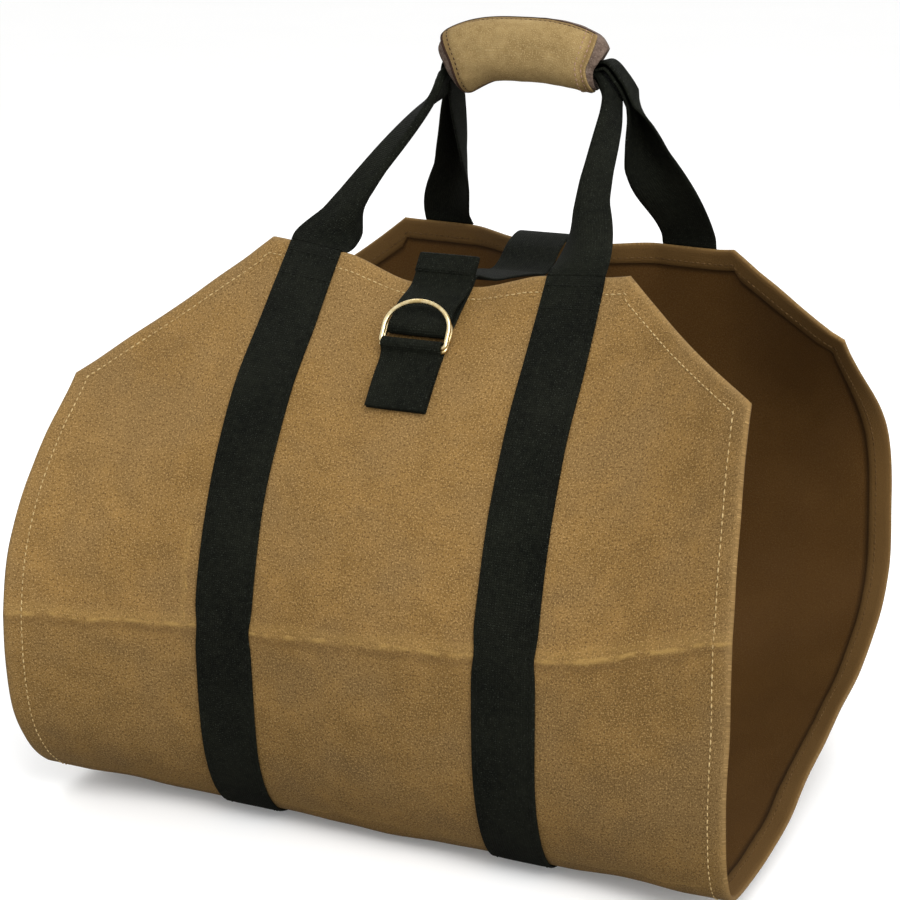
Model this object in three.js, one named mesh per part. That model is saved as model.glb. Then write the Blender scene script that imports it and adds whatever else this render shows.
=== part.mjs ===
// Canvas log carrier: a waxed canvas sling, its webbing, a padded grip and a two-ring closure.
// Millimetres, +Z up. X runs across the sling, -Y is its front, +Y its back. Until the last
// section Z = 0 is the lowest fold of the cloth and Y = 0 the upright plane through the grip.
// At the end the origin moves to the underside of the grip, where a hand lifts the carrier.

import * as THREE from 'three';

// Cloth
const SHEET_WIDTH = 457;
const FRONT_REACH = 211;
const BACK_REACH = 136;
const BAG_HEIGHT = 340;
const HEM_LENGTH = 250;
const CORNER_CUT = 92;
const CANVAS_WALL = 1.6;
const HEM_BAND = 14;
const HEM_STEP = 1.5;
const EDGE_FLARE = 30;
const EDGE_LIFT = 36;
const EDGE_INSET = 22;
const HEM_SAG = 13;
const HEM_TURN = 11;
const HEM_CORNER_LIFT = 5;
const SHEET_ROWS = 50;

// Webbing
const WEBBING_WIDTH = 38;
const WEBBING_THICKNESS = 1.8;
const STRAP_SPACING = 182;
const CLEARANCE = 0.3;
const LEG_RISE = 12;
const FOLD_QUICKNESS = 0.7;

// Grip
const GRIP_LENGTH = 92;
const GRIP_DEPTH = 40;
const GRIP_THICKNESS = 37;
const GRIP_HEIGHT = 460;
const GRIP_SHIFT = 11;
const GRIP_DROOP = 10;
const GRIP_SKEW = 0.25;
const GRIP_END_SCALE = 0.88;
const GRIP_FACE_SHARE = 0.93;
const GRIP_FACE_THICKNESS = 1.2;
const GRIP_SLOT_CLEARANCE = 0.7;
const GRIP_MOUTH_FLARE = 4;
const GRIP_SIDES = 20;

// Closure
const RING_BAR_FROM_HEM = 52;
const RING_WIRE = 2.8;
const RING_HALF_WIDTH = 21;
const RING_ARM = 10.5;
const RING_ARC = 16.5;
const RING_TILT = 0.28;
const RING_STAGGER = 0.3;
const BAR_GAP = 0.2;
const FOLD_ABOVE_TAB = 6;
const TAB_LENGTH = 38;
const CLOSURE_SEWN_LENGTH = 62;

const halfWidth = SHEET_WIDTH / 2;
const strapHalf = STRAP_SPACING / 2;
const strapInner = strapHalf - WEBBING_WIDTH / 2;
const strapOuter = strapHalf + WEBBING_WIDTH / 2;
const closureFlat = WEBBING_WIDTH / 2 + 1;
const outerFace = CLEARANCE + WEBBING_THICKNESS;
const layerStep = WEBBING_THICKNESS + CLEARANCE;
const sewnLayer = CLEARANCE + WEBBING_THICKNESS / 2;
const ringRadius = RING_WIRE / 2;

// Section of the sling along a strap, from the front hem under the bag to the back hem.
// along is the share of the cloth's length, forward the share of FRONT_REACH ahead of the grip
// (or, below zero, of BACK_REACH behind it), up the share of BAG_HEIGHT.
const strapSection = [
  { along: 0.0, forward: 0.465, up: 1.0 },
  { along: 0.041, forward: 0.6, up: 0.9 },
  { along: 0.094, forward: 0.768, up: 0.776 },
  { along: 0.153, forward: 0.9, up: 0.633 },
  { along: 0.215, forward: 0.986, up: 0.462 },
  { along: 0.277, forward: 1.0, up: 0.285 },
  { along: 0.33, forward: 0.971, up: 0.129 },
  { along: 0.375, forward: 0.873, up: 0.024 },
  { along: 0.403, forward: 0.752, up: 0.003 },
  { along: 0.472, forward: 0.43, up: 0.0 },
  { along: 0.544, forward: 0.095, up: 0.021 },
  { along: 0.61, forward: -0.33, up: 0.05 },
  { along: 0.653, forward: -0.618, up: 0.083 },
  { along: 0.691, forward: -0.824, up: 0.141 },
  { along: 0.726, forward: -0.949, up: 0.221 },
  { along: 0.767, forward: -1.0, up: 0.329 },
  { along: 0.829, forward: -0.978, up: 0.494 },
  { along: 0.89, forward: -0.912, up: 0.668 },
  { along: 0.949, forward: -0.824, up: 0.824 },
  { along: 1.0, forward: -0.721, up: 0.958 },
];

// How the free side edges stand off that section: flare towards the front as a share of
// EDGE_FLARE, lift as a share of EDGE_LIFT, inset towards the middle as a share of EDGE_INSET.
const leftEdge = [
  { along: 0.0, flare: 0.0, lift: -0.2, inset: 0.0 },
  { along: 0.094, flare: 0.0, lift: -0.08, inset: 0.0 },
  { along: 0.153, flare: 0.37, lift: 0.11, inset: 0.0 },
  { along: 0.215, flare: 0.93, lift: 0.25, inset: 0.09 },
  { along: 0.3, flare: 1.07, lift: 0.25, inset: 0.09 },
  { along: 0.375, flare: 0.77, lift: 0.33, inset: 0.09 },
  { along: 0.472, flare: 0.5, lift: 0.25, inset: 0.05 },
  { along: 0.61, flare: 0.27, lift: 0.33, inset: 0.05 },
  { along: 0.767, flare: 0.0, lift: 0.44, inset: 0.09 },
  { along: 0.906, flare: 0.9, lift: 0.5, inset: 0.4 },
  { along: 1.0, flare: 1.2, lift: 0.5, inset: 0.6 },
];
const rightEdge = [
  { along: 0.0, flare: 1.0, lift: 1.1, inset: 0.4 },
  { along: 0.094, flare: 0.93, lift: 1.0, inset: 0.3 },
  { along: 0.153, flare: 0.63, lift: 0.72, inset: 0.23 },
  { along: 0.215, flare: 0.23, lift: 0.64, inset: 0.23 },
  { along: 0.277, flare: 0.27, lift: 0.58, inset: 0.18 },
  { along: 0.33, flare: 0.5, lift: 0.56, inset: 0.18 },
  { along: 0.375, flare: 0.73, lift: 0.36, inset: 0.14 },
  { along: 0.472, flare: 0.7, lift: 0.42, inset: 0.09 },
  { along: 0.544, flare: 0.67, lift: 0.72, inset: 0.09 },
  { along: 0.61, flare: 0.5, lift: 0.92, inset: 0.09 },
  { along: 0.691, flare: 0.0, lift: 0.97, inset: 0.09 },
  { along: 0.767, flare: 0.03, lift: 0.86, inset: 0.18 },
  { along: 0.829, flare: 0.3, lift: 1.17, inset: 0.36 },
  { along: 0.906, flare: 1.8, lift: 1.06, inset: 1.0 },
  { along: 1.0, flare: 2.0, lift: 1.1, inset: 1.3 },
];

// The panel between the straps: flare and sag as shares of HEM_SAG, which the closure pulls
// in at both hems, and turn as a share of HEM_TURN, by which the hems twist about the grip.
const middlePanel = [
  { along: 0.0, flare: -0.3, sag: 1.0, turn: 1.0 },
  { along: 0.041, flare: 0.08, sag: 0.3, turn: 0.6 },
  { along: 0.094, flare: 0.08, sag: 0.12, turn: 0.2 },
  { along: 0.2, flare: 0.25, sag: 0.0, turn: 0.0 },
  { along: 0.45, flare: 0.0, sag: 0.15, turn: 0.0 },
  { along: 0.8, flare: -0.3, sag: 0.0, turn: 0.0 },
  { along: 0.9, flare: 0.1, sag: 0.0, turn: 0.2 },
  { along: 0.949, flare: 0.8, sag: 0.05, turn: 0.5 },
  { along: 1.0, flare: 1.7, sag: 0.15, turn: 0.75 },
];

// The closure strap from the back hem to the front one: share of the way, and rise in mm.
const mouthRun = [
  { share: 0.015, rise: 4.5 },
  { share: 0.08, rise: 6.5 },
  { share: 0.19, rise: 1.5 },
  { share: 0.27, rise: -7 },
  { share: 0.34, rise: -11 },
  { share: 0.45, rise: -8.5 },
  { share: 0.65, rise: -4.5 },
  { share: 0.8, rise: -2 },
  { share: 0.91, rise: 2.5 },
  { share: 0.97, rise: 4.5 },
];

// Where the closure strap folds back above the ring bars, in mm up the panel and out of it.
const foldRun = [
  { up: 5, out: 0 },
  { up: 1.2, out: 1.3 },
  { up: 0, out: 4.2 },
  { up: 1.8, out: 6.4 },
  { up: 5.5, out: 6.8 },
];

// Smooth value of one column at a share of the length, a cubic through the rows.
function columnAt(rows, column, along) {
  const last = rows.length - 1;
  let i = 0;
  while (i < last - 1 && along > rows[i + 1].along) i += 1;
  const slope = (k) => {
    const before = rows[Math.max(0, k - 1)];
    const after = rows[Math.min(last, k + 1)];
    return (after[column] - before[column]) / (after.along - before.along);
  };
  const span = rows[i + 1].along - rows[i].along;
  const t = (along - rows[i].along) / span;
  const start = rows[i][column] * (1 + 2 * t) * (1 - t) ** 2;
  const end = rows[i + 1][column] * t * t * (3 - 2 * t);
  const startSlope = slope(i) * span * t * (1 - t) ** 2;
  const endSlope = slope(i + 1) * span * t * t * (t - 1);
  return start + end + startSlope + endSlope;
}

const sectionRows = strapSection.map(({ along, forward, up }) => ({
  along,
  y: -forward * (forward > 0 ? FRONT_REACH : BACK_REACH),
  z: up * BAG_HEIGHT,
}));

const smoothStep = (t) => t * t * (3 - 2 * t);

// Outer face of the canvas, at a distance from its middle line and a share of its length.
function sheetPoint(across, along) {
  const side = Math.sign(across) || 1;
  const distance = Math.abs(across);
  const edge = side < 0 ? leftEdge : rightEdge;
  const beyond = Math.max(0, distance - strapOuter) / (halfWidth - strapOuter);
  const bend = beyond ** 1.6;
  const inside = (strapInner - distance) / (strapInner - closureFlat);
  const middle = smoothStep(THREE.MathUtils.clamp(inside, 0, 1));
  const fromMiddle = (Math.max(0, distance - closureFlat) / (strapHalf - closureFlat)) * side;
  const turn = HEM_TURN * columnAt(middlePanel, 'turn', along) * fromMiddle;
  const flare =
    EDGE_FLARE * columnAt(edge, 'flare', along) * bend +
    HEM_SAG * columnAt(middlePanel, 'flare', along) * middle;
  const pastStrap = THREE.MathUtils.clamp((distance - strapInner) / (HEM_LENGTH / 2 - strapInner), 0, 1);
  const lift =
    EDGE_LIFT * columnAt(edge, 'lift', along) * bend -
    HEM_SAG * columnAt(middlePanel, 'sag', along) * middle +
    HEM_CORNER_LIFT * pastStrap * Math.max(0, 1 - along / 0.12);
  return new THREE.Vector3(
    across - side * EDGE_INSET * columnAt(edge, 'inset', along) * beyond ** 2,
    columnAt(sectionRows, 'y', along) - flare - turn,
    columnAt(sectionRows, 'z', along) + lift,
  );
}

// Direction along the cloth and the direction that points out of the bag, at one place.
function sheetFrame(across, along) {
  const step = 0.004;
  const from = sheetPoint(across, Math.max(0, along - step));
  const to = sheetPoint(across, Math.min(1, along + step));
  const run = to.sub(from).normalize();
  const left = sheetPoint(Math.max(-halfWidth, across - 1), along);
  const right = sheetPoint(Math.min(halfWidth, across + 1), along);
  const cross = right.sub(left);
  return { run, out: new THREE.Vector3().crossVectors(run, cross).normalize() };
}

// Length of the cloth along a strap, summed over short steps.
function clothLength() {
  const steps = 400;
  let length = 0;
  for (let i = 0; i < steps; i += 1) {
    const from = sheetPoint(strapHalf, i / steps);
    length += from.distanceTo(sheetPoint(strapHalf, (i + 1) / steps));
  }
  return length;
}
const sheetLength = clothLength();

// A closed body between two grids of points, rows of columns, one on each of its faces.
function bodyBetween(outer, inner) {
  const rows = outer.length;
  const columns = outer[0].length;
  const points = [...outer.flat(), ...inner.flat()];
  const outerAt = (r, c) => r * columns + c;
  const innerAt = (r, c) => rows * columns + r * columns + c;
  const triangles = [];
  const quad = (a, b, c, d) => triangles.push(a, b, c, a, c, d);
  for (let r = 0; r < rows - 1; r += 1) {
    for (let c = 0; c < columns - 1; c += 1) {
      quad(outerAt(r, c), outerAt(r, c + 1), outerAt(r + 1, c + 1), outerAt(r + 1, c));
      quad(innerAt(r, c), innerAt(r + 1, c), innerAt(r + 1, c + 1), innerAt(r, c + 1));
    }
    quad(outerAt(r, 0), outerAt(r + 1, 0), innerAt(r + 1, 0), innerAt(r, 0));
    const c = columns - 1;
    quad(outerAt(r, c), innerAt(r, c), innerAt(r + 1, c), outerAt(r + 1, c));
  }
  for (let c = 0; c < columns - 1; c += 1) {
    const r = rows - 1;
    quad(outerAt(0, c), innerAt(0, c), innerAt(0, c + 1), outerAt(0, c + 1));
    quad(outerAt(r, c), outerAt(r, c + 1), innerAt(r, c + 1), innerAt(r, c));
  }
  return closedGeometry(points, triangles);
}

// A closed tube or sleeve from rings of points, its end rings joined to each other.
function bodyAroundRings(rings) {
  const count = rings.length;
  const sides = rings[0].length;
  const triangles = [];
  for (let r = 0; r < count; r += 1) {
    const next = (r + 1) % count;
    for (let s = 0; s < sides; s += 1) {
      const beside = (s + 1) % sides;
      const [a, b] = [r * sides + s, r * sides + beside];
      const [c, d] = [next * sides + beside, next * sides + s];
      triangles.push(a, b, c, a, c, d);
    }
  }
  return closedGeometry(rings.flat(), triangles);
}

// Indexed geometry whose faces point outwards.
function closedGeometry(points, triangles) {
  let volume = 0;
  for (let i = 0; i < triangles.length; i += 3) {
    const [a, b, c] = [0, 1, 2].map((k) => points[triangles[i + k]]);
    volume += a.dot(new THREE.Vector3().crossVectors(b, c));
  }
  if (volume < 0) triangles.reverse();
  const geometry = new THREE.BufferGeometry().setFromPoints(points);
  geometry.setIndex(triangles);
  geometry.computeVertexNormals();
  return geometry;
}

// Webbing from stations with a middle point, the direction of its width and of its face.
function webbingBody(stations) {
  const face = (side) =>
    stations.map(({ point, width, out }) =>
      [-0.5, 0.5].map((end) =>
        point
          .clone()
          .addScaledVector(width, end * WEBBING_WIDTH)
          .addScaledVector(out, (side * WEBBING_THICKNESS) / 2),
      ),
    );
  return bodyBetween(face(1), face(-1));
}

// Shares of the cloth's length at which it has a row, with a close pair at each hem band.
function sheetRows() {
  const band = HEM_BAND / sheetLength;
  const step = HEM_STEP / sheetLength;
  const inner = Array.from({ length: SHEET_ROWS + 1 }, (_, i) => i / SHEET_ROWS);
  const body = inner.map((t) => band + step + t * (1 - 2 * (band + step)));
  return [0, band, ...body, 1 - band, 1];
}
const rowShares = sheetRows();

// Distances from the middle line at which the cloth has a column, the same on both sides.
function sheetColumns() {
  const hem = halfWidth - HEM_BAND;
  const corner = HEM_LENGTH / 2;
  const half = [closureFlat, 46, strapInner, strapOuter, corner, 145, 165, 185];
  const side = [...half, hem - HEM_STEP - 9, hem - HEM_STEP, hem, halfWidth];
  return [...side.map((u) => -u).reverse(), ...side];
}

// Canvas sling: rows start further down where the corners are cut off.
function canvasBody() {
  const columns = sheetColumns();
  const cutShare = CORNER_CUT / sheetLength;
  const corner = HEM_LENGTH / 2;
  const outer = [];
  const inner = [];
  rowShares.forEach((share, row) => {
    const outerRow = [];
    const innerRow = [];
    const hemRow = row < 2 || row > rowShares.length - 3;
    columns.forEach((across) => {
      const cut = Math.max(0, Math.abs(across) - corner) / (halfWidth - corner);
      const start = cutShare * cut;
      const along = start + share * (1 - 2 * start);
      const point = sheetPoint(across, along);
      const inHem = hemRow || Math.abs(across) > halfWidth - HEM_BAND - HEM_STEP / 2;
      const wall = CANVAS_WALL * (inHem ? 2 : 1);
      outerRow.push(point);
      innerRow.push(point.clone().addScaledVector(sheetFrame(across, along).out, -wall));
    });
    outer.push(outerRow);
    inner.push(innerRow);
  });
  return bodyBetween(outer, inner);
}

// A strap sewn down the outside of the cloth, from the front hem round to the back hem.
function sewnStrap(side) {
  const inner = [];
  const outer = [];
  rowShares.forEach((along) => {
    const { out } = sheetFrame(side * strapHalf, along);
    const edges = [strapInner, strapOuter].map((u) => sheetPoint(side * u, along));
    inner.push(edges.map((p) => p.clone().addScaledVector(out, CLEARANCE)));
    outer.push(edges.map((p) => p.clone().addScaledVector(out, outerFace)));
  });
  return bodyBetween(outer, inner);
}

// Middle line of the grip, share -1 at its left end and 1 at its right, ends drooping.
function gripAxis(share) {
  return new THREE.Vector3(
    GRIP_SHIFT + (share * GRIP_LENGTH) / 2,
    0,
    GRIP_HEIGHT - GRIP_DROOP * Math.abs(share) ** 3,
  );
}
function gripUp(share) {
  const slope = (-6 * GRIP_DROOP * Math.sign(share) * share ** 2) / GRIP_LENGTH;
  return new THREE.Vector3(-slope, 0, 1).normalize();
}

const gripShares = Array.from({ length: 11 }, (_, i) => (i - 5) / 5);
const LEG_STEPS = 7;

// Cross-section of a handle, its inner half folded behind the outer one by a share of a half
// turn. Points are [along the width, out of the face], the outer edge first.
function foldedSection(fold, side) {
  const half = (WEBBING_WIDTH - layerStep) / 2;
  const angles = [0, fold / 2, fold].map((share) => share * Math.PI);
  const lengths = [half, layerStep, half];
  let at = new THREE.Vector2((fold * half - WEBBING_WIDTH * (1 - fold)) / 2 - fold * half, 0);
  const middles = [at];
  angles.forEach((angle, i) => {
    const step = new THREE.Vector2(Math.cos(angle), -Math.sin(angle)).multiplyScalar(lengths[i]);
    at = at.clone().add(step);
    middles.push(at);
  });
  return middles.map((middle, i) => {
    const before = angles[Math.max(0, i - 1)];
    const after = angles[Math.min(2, i)];
    const angle = (before + after) / 2;
    const reach = (side * WEBBING_THICKNESS) / 2 / Math.cos((after - before) / 2);
    const outwards = new THREE.Vector2(Math.sin(angle), Math.cos(angle));
    return middle.clone().addScaledVector(outwards, reach);
  });
}

// Where one leg of a handle runs, from the hem up to the mouth of the grip, and its hem's line.
function handleLeg(front, side) {
  const hemShare = front ? 0 : 1;
  const { run, out } = sheetFrame(side * strapHalf, hemShare);
  const up = run.clone().multiplyScalar(front ? -1 : 1);
  const start = sheetPoint(side * strapHalf, hemShare)
    .addScaledVector(out, sewnLayer)
    .addScaledVector(up, 2 * CLEARANCE);
  const rise = start.clone().addScaledVector(up, LEG_RISE);
  const bends = (front ? lowerBend : upperBend).map(({ beyond, forward, up: height }) =>
    gripAxis(side).add(new THREE.Vector3(side * beyond, front ? -forward : forward, height)),
  );
  const edges = [strapInner, strapOuter].map((u) => sheetPoint(side * u, hemShare));
  const hemLine = edges[1].sub(edges[0]).multiplyScalar(side).normalize();
  return { path: [start, rise, rise.clone().lerp(bends[0], 0.5), ...bends], hemLine };
}

// How each loop bends out of the grip's mouth, seen from there, its lowest point first. The
// lower layer in the grip is the front loop, the upper one the back loop, which bends outside it.
const lowerBend = [
  { beyond: 9, forward: 9, up: -16 },
  { beyond: 7, forward: 3, up: -9 },
  { beyond: 4, forward: 0, up: -4 },
];
const upperBend = [
  { beyond: 15, forward: 9, up: -16 },
  { beyond: 12.5, forward: 3, up: -6 },
  { beyond: 7, forward: 0, up: 0.6 },
];

// One loop of webbing: up a leg, through the grip and down the other leg.
function handleLoop(front) {
  const layerOffset = front ? -layerStep : layerStep;
  const left = handleLeg(front, -1);
  const right = handleLeg(front, 1);
  const inGrip = gripShares.map((s) => gripAxis(s).addScaledVector(gripUp(s), layerOffset));
  const path = [...left.path, ...inGrip, ...right.path.reverse()];
  const curve = new THREE.CatmullRomCurve3(path, false, 'centripetal');
  const last = path.length - 1;
  const bendStart = left.path.length - lowerBend.length;
  const stops = [];
  for (let i = 0; i < last; i += 1) {
    const inLeg = i < bendStart || i >= last - bendStart;
    const steps = inLeg ? LEG_STEPS : 2;
    for (let k = 0; k < steps; k += 1) stops.push(i + k / steps);
  }
  stops.push(last);
  const points = stops.map((stop) => curve.getPoint(stop / last));
  const lengths = [0];
  points.slice(1).forEach((point, i) => lengths.push(lengths[i] + point.distanceTo(points[i])));
  const total = lengths[lengths.length - 1];
  const leftLength = lengths[stops.indexOf(bendStart)];
  const rightLength = total - lengths[stops.indexOf(last - bendStart)];
  const faces = [1, -1].map((face) =>
    stops.map((stop, i) => {
      const run = curve.getTangent(stop / last);
      const climb = Math.min(1, lengths[i] / leftLength, (total - lengths[i]) / rightLength);
      const turned = (Math.PI / 2) * climb;
      const leg = stop < last / 2 ? left : right;
      const side = leg === left ? 1 : -1;
      const width = leg.hemLine.clone().multiplyScalar(side * Math.cos(turned));
      width.y += (front ? -1 : 1) * Math.sin(turned);
      width.addScaledVector(run, -width.dot(run) * climb).normalize();
      const out = new THREE.Vector3().crossVectors(width, run).normalize();
      if (!front) out.negate();
      const fold = climb ** FOLD_QUICKNESS;
      return foldedSection(fold, face).map((place) =>
        points[i]
          .clone()
          .addScaledVector(width, place.x)
          .addScaledVector(out, place.y + (fold * layerStep) / 2),
      );
    }),
  );
  return bodyBetween(faces[0], faces[1]);
}

// A way across the grip. Its right end is cut a little askew, longer at the front.
function gripDepth(share, depth) {
  return new THREE.Vector3(-GRIP_SKEW * Math.max(0, share) * depth, depth, 0);
}

// Points round the grip's section at one station: an oval, or the slot for the webbing.
function gripOval(share, sides, scale, extra = 0) {
  const centre = gripAxis(share);
  const up = gripUp(share);
  return Array.from({ length: sides }, (_, i) => {
    const angle = (2 * Math.PI * i) / sides;
    const round = (value) => Math.sign(value) * Math.abs(value) ** 0.8;
    const depth = (GRIP_DEPTH / 2) * scale + extra;
    const height = (GRIP_THICKNESS / 2) * scale + extra;
    return centre
      .clone()
      .add(gripDepth(share, depth * round(Math.cos(angle))))
      .addScaledVector(up, height * round(Math.sin(angle)));
  });
}
function gripSlot(share, sides) {
  const centre = gripAxis(share);
  const up = gripUp(share);
  const mouth = Math.max(0, Math.abs(share) - 0.5) ** 2 * 4;
  const depth = WEBBING_WIDTH / 4 + layerStep / 2 + GRIP_SLOT_CLEARANCE + mouth * GRIP_MOUTH_FLARE;
  const height = 2 * layerStep + GRIP_SLOT_CLEARANCE + mouth * GRIP_MOUTH_FLARE;
  return Array.from({ length: sides }, (_, i) => {
    const angle = (2 * Math.PI * i) / sides;
    const flat = THREE.MathUtils.clamp(Math.cos(angle) * 1.6, -1, 1);
    const tall = THREE.MathUtils.clamp(Math.sin(angle) * 1.6, -1, 1);
    return centre
      .clone()
      .add(gripDepth(share, depth * flat))
      .addScaledVector(up, height * tall);
  });
}

// Padded sleeve round the two layers of webbing, its ends rounded over.
function gripPad() {
  const sides = GRIP_SIDES;
  const endScale = (share) => (Math.abs(share) > 0.9 ? GRIP_END_SCALE : 1);
  const outside = gripShares.map((s) => gripOval(s, sides, endScale(s)));
  const slot = gripShares.map((s) => gripSlot(s, sides)).reverse();
  return bodyAroundRings([...outside, ...slot]);
}

// Canvas panel over the front of the pad, from its top to its underside, short of its ends.
function gripFace() {
  const shares = gripShares.map((share) => share * GRIP_FACE_SHARE);
  const panel = (extra) =>
    shares.map((share) =>
      gripOval(share, GRIP_SIDES, 1, extra).slice(GRIP_SIDES / 4, (GRIP_SIDES * 3) / 4),
    );
  return bodyBetween(panel(CLEARANCE + GRIP_FACE_THICKNESS), panel(CLEARANCE));
}

// Upright plane through the closure: a point of the panel's middle line, moved out of its face.
function onPanel(along, out) {
  return sheetPoint(0, along).addScaledVector(sheetFrame(0, along).out, out);
}
const barAlong = RING_BAR_FROM_HEM / sheetLength;
const barFrame = sheetFrame(0, barAlong);
const barUp = barFrame.run.clone().negate();
function nearBar(up, out) {
  return sheetPoint(0, barAlong).addScaledVector(barUp, up).addScaledVector(barFrame.out, out);
}

// Webbing that runs in the upright plane through the closure, in its full width.
function flatRun(controls, steps) {
  const curve = new THREE.CatmullRomCurve3(controls, false, 'centripetal');
  const width = new THREE.Vector3(1, 0, 0);
  const stations = Array.from({ length: steps + 1 }, (_, i) => {
    const t = i / steps;
    const run = curve.getTangent(t);
    return { point: curve.getPoint(t), width, out: new THREE.Vector3().crossVectors(width, run) };
  });
  return webbingBody(stations);
}

const lowerBar = { up: 0, out: outerFace + CLEARANCE + ringRadius };
const upperBar = { up: 1.0, out: lowerBar.out + RING_WIRE + BAR_GAP };
const wrap = ringRadius + CLEARANCE + WEBBING_THICKNESS / 2;

// Tab folded over both ring bars and sewn to the panel below them.
function ringTab() {
  const tabEnd = (RING_BAR_FROM_HEM + TAB_LENGTH) / sheetLength;
  const tabMiddle = (RING_BAR_FROM_HEM + TAB_LENGTH / 2) / sheetLength;
  const tabTop = (RING_BAR_FROM_HEM + 8) / sheetLength;
  const secondLayer = sewnLayer + layerStep;
  return flatRun(
    [
      onPanel(tabEnd, sewnLayer),
      onPanel(tabMiddle, sewnLayer),
      onPanel(tabTop, sewnLayer),
      nearBar(lowerBar.up, lowerBar.out - wrap),
      nearBar(lowerBar.up + wrap * 0.8, lowerBar.out - wrap * 0.75),
      nearBar(upperBar.up + wrap, (lowerBar.out + upperBar.out) / 2),
      nearBar(upperBar.up + wrap * 0.8, upperBar.out + wrap * 0.75),
      nearBar(upperBar.up, upperBar.out + wrap),
      nearBar(upperBar.up - wrap * 0.85, upperBar.out + wrap * 0.6),
      nearBar(lowerBar.up - wrap - 0.4, lowerBar.out + 1.2),
      nearBar(lowerBar.up - wrap - 4.5, lowerBar.out - 0.6),
      onPanel(tabMiddle, secondLayer),
      onPanel(tabEnd, secondLayer),
    ],
    60,
  );
}

// Wire ring with a straight bar, two arms and an arc, in the plane from its bar upwards.
function dRing(bar, tilt, shift) {
  const slope = new THREE.Vector2(1, tilt).normalize();
  const place = (x, along) =>
    nearBar(bar.up + along * slope.x, bar.out + along * slope.y).setX(x + shift);
  const corner = 1.6;
  const wire = [
    ...[-1, 0, 1].map((end) => place(end * (RING_HALF_WIDTH - corner), 0)),
    place(RING_HALF_WIDTH, corner),
    ...Array.from({ length: 13 }, (_, i) => {
      const angle = (Math.PI * i) / 12;
      const rise = RING_ARM + RING_ARC * Math.sin(angle);
      return place(RING_HALF_WIDTH * Math.cos(angle), rise);
    }),
    place(-RING_HALF_WIDTH, corner),
  ];
  const facing = barFrame.out.clone().multiplyScalar(slope.x).addScaledVector(barUp, -slope.y);
  const sides = 8;
  const rings = wire.map((point, i) => {
    const before = wire[(i + wire.length - 1) % wire.length];
    const after = wire[(i + 1) % wire.length];
    const run = after.clone().sub(before).normalize();
    const inwards = new THREE.Vector3().crossVectors(run, facing);
    return Array.from({ length: sides }, (_, s) => {
      const angle = (2 * Math.PI * (s + 0.5)) / sides;
      return point
        .clone()
        .addScaledVector(inwards, ringRadius * Math.cos(angle))
        .addScaledVector(facing, ringRadius * Math.sin(angle));
    });
  });
  return bodyAroundRings(rings);
}

// Closure strap: sewn down the back, over the back hem, down into the mouth and over the front
// hem, under the rings, and folded back over the lower ring and under the arc of the upper one.
function closureStrap() {
  const sewnEnd = 1 - CLOSURE_SEWN_LENGTH / sheetLength;
  const sewnMiddle = 1 - CLOSURE_SEWN_LENGTH / 2 / sheetLength;
  const backHem = onPanel(1, sewnLayer);
  const frontHem = onPanel(0, sewnLayer);
  const overMouth = ({ share, rise }) =>
    backHem.clone().lerp(frontHem, share).add(new THREE.Vector3(0, 0, rise));
  const lowLayer = (share) => onPanel(barAlong * share, sewnLayer);
  const foldUp = upperBar.up + wrap + FOLD_ABOVE_TAB;
  const highLayer = lowerBar.out + ringRadius + CLEARANCE + WEBBING_THICKNESS / 2;
  const lowAtFold = lowerBar.out - wrap;
  const hemFromBar = frontHem.clone().sub(nearBar(0, 0));
  const hemUp = hemFromBar.dot(barUp);
  const hemOut = hemFromBar.dot(barFrame.out);
  const ringTop = RING_ARM + RING_ARC;
  const controls = [
    onPanel(sewnEnd, sewnLayer),
    onPanel(sewnMiddle, sewnLayer),
    backHem,
    ...mouthRun.map(overMouth),
    frontHem,
    lowLayer(0.3),
    lowLayer(0.5),
    ...foldRun.map(({ up, out }) => nearBar(foldUp + up, lowAtFold + out)),
    nearBar(ringTop * 0.8, highLayer + CLEARANCE),
    nearBar(ringTop + 2, highLayer - CLEARANCE),
    nearBar(hemUp - 6, hemOut + layerStep + 1.6),
    nearBar(hemUp + 4, hemOut + layerStep + 1.4),
    nearBar(hemUp + 16, hemOut + layerStep + 2.6),
  ];
  return flatRun(controls, 120);
}

const canvasFinish = { color: 0x9c7440, roughness: 0.85, metalness: 0 };
const webbingFinish = { color: 0x1d211c, roughness: 0.9, metalness: 0 };
const gripCanvasFinish = { color: 0xa98b4f, roughness: 0.85, metalness: 0 };
const gripFeltFinish = { color: 0x7d6655, roughness: 1, metalness: 0 };
const brassFinish = { color: 0xd9b765, roughness: 0.3, metalness: 1 };

const piece = (name, geometry, finish) => {
  const mesh = new THREE.Mesh(geometry, new THREE.MeshStandardMaterial(finish));
  mesh.name = name;
  return mesh;
};

const sling = new THREE.Group();
sling.add(piece('canvas_body', canvasBody(), canvasFinish));
sling.add(piece('strap_left', sewnStrap(-1), webbingFinish));
sling.add(piece('strap_right', sewnStrap(1), webbingFinish));

const handle = new THREE.Group();
handle.add(piece('handle_front', handleLoop(true), webbingFinish));
handle.add(piece('handle_back', handleLoop(false), webbingFinish));
handle.add(piece('grip_pad', gripPad(), gripFeltFinish));
handle.add(piece('grip_face', gripFace(), gripCanvasFinish));

const closure = new THREE.Group();
closure.add(piece('ring_tab', ringTab(), webbingFinish));
closure.add(piece('d_ring_lower', dRing(lowerBar, 0, -RING_STAGGER), brassFinish));
closure.add(piece('d_ring_upper', dRing(upperBar, RING_TILT, RING_STAGGER), brassFinish));
closure.add(piece('closure_strap', closureStrap(), webbingFinish));

// The origin moves to where a hand lifts the grip, the middle of its underside.
const carrier = new THREE.Group();
carrier.position.set(-GRIP_SHIFT, 0, -(GRIP_HEIGHT - GRIP_THICKNESS / 2));
carrier.add(sling, handle, closure);

export default carrier;
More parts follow.
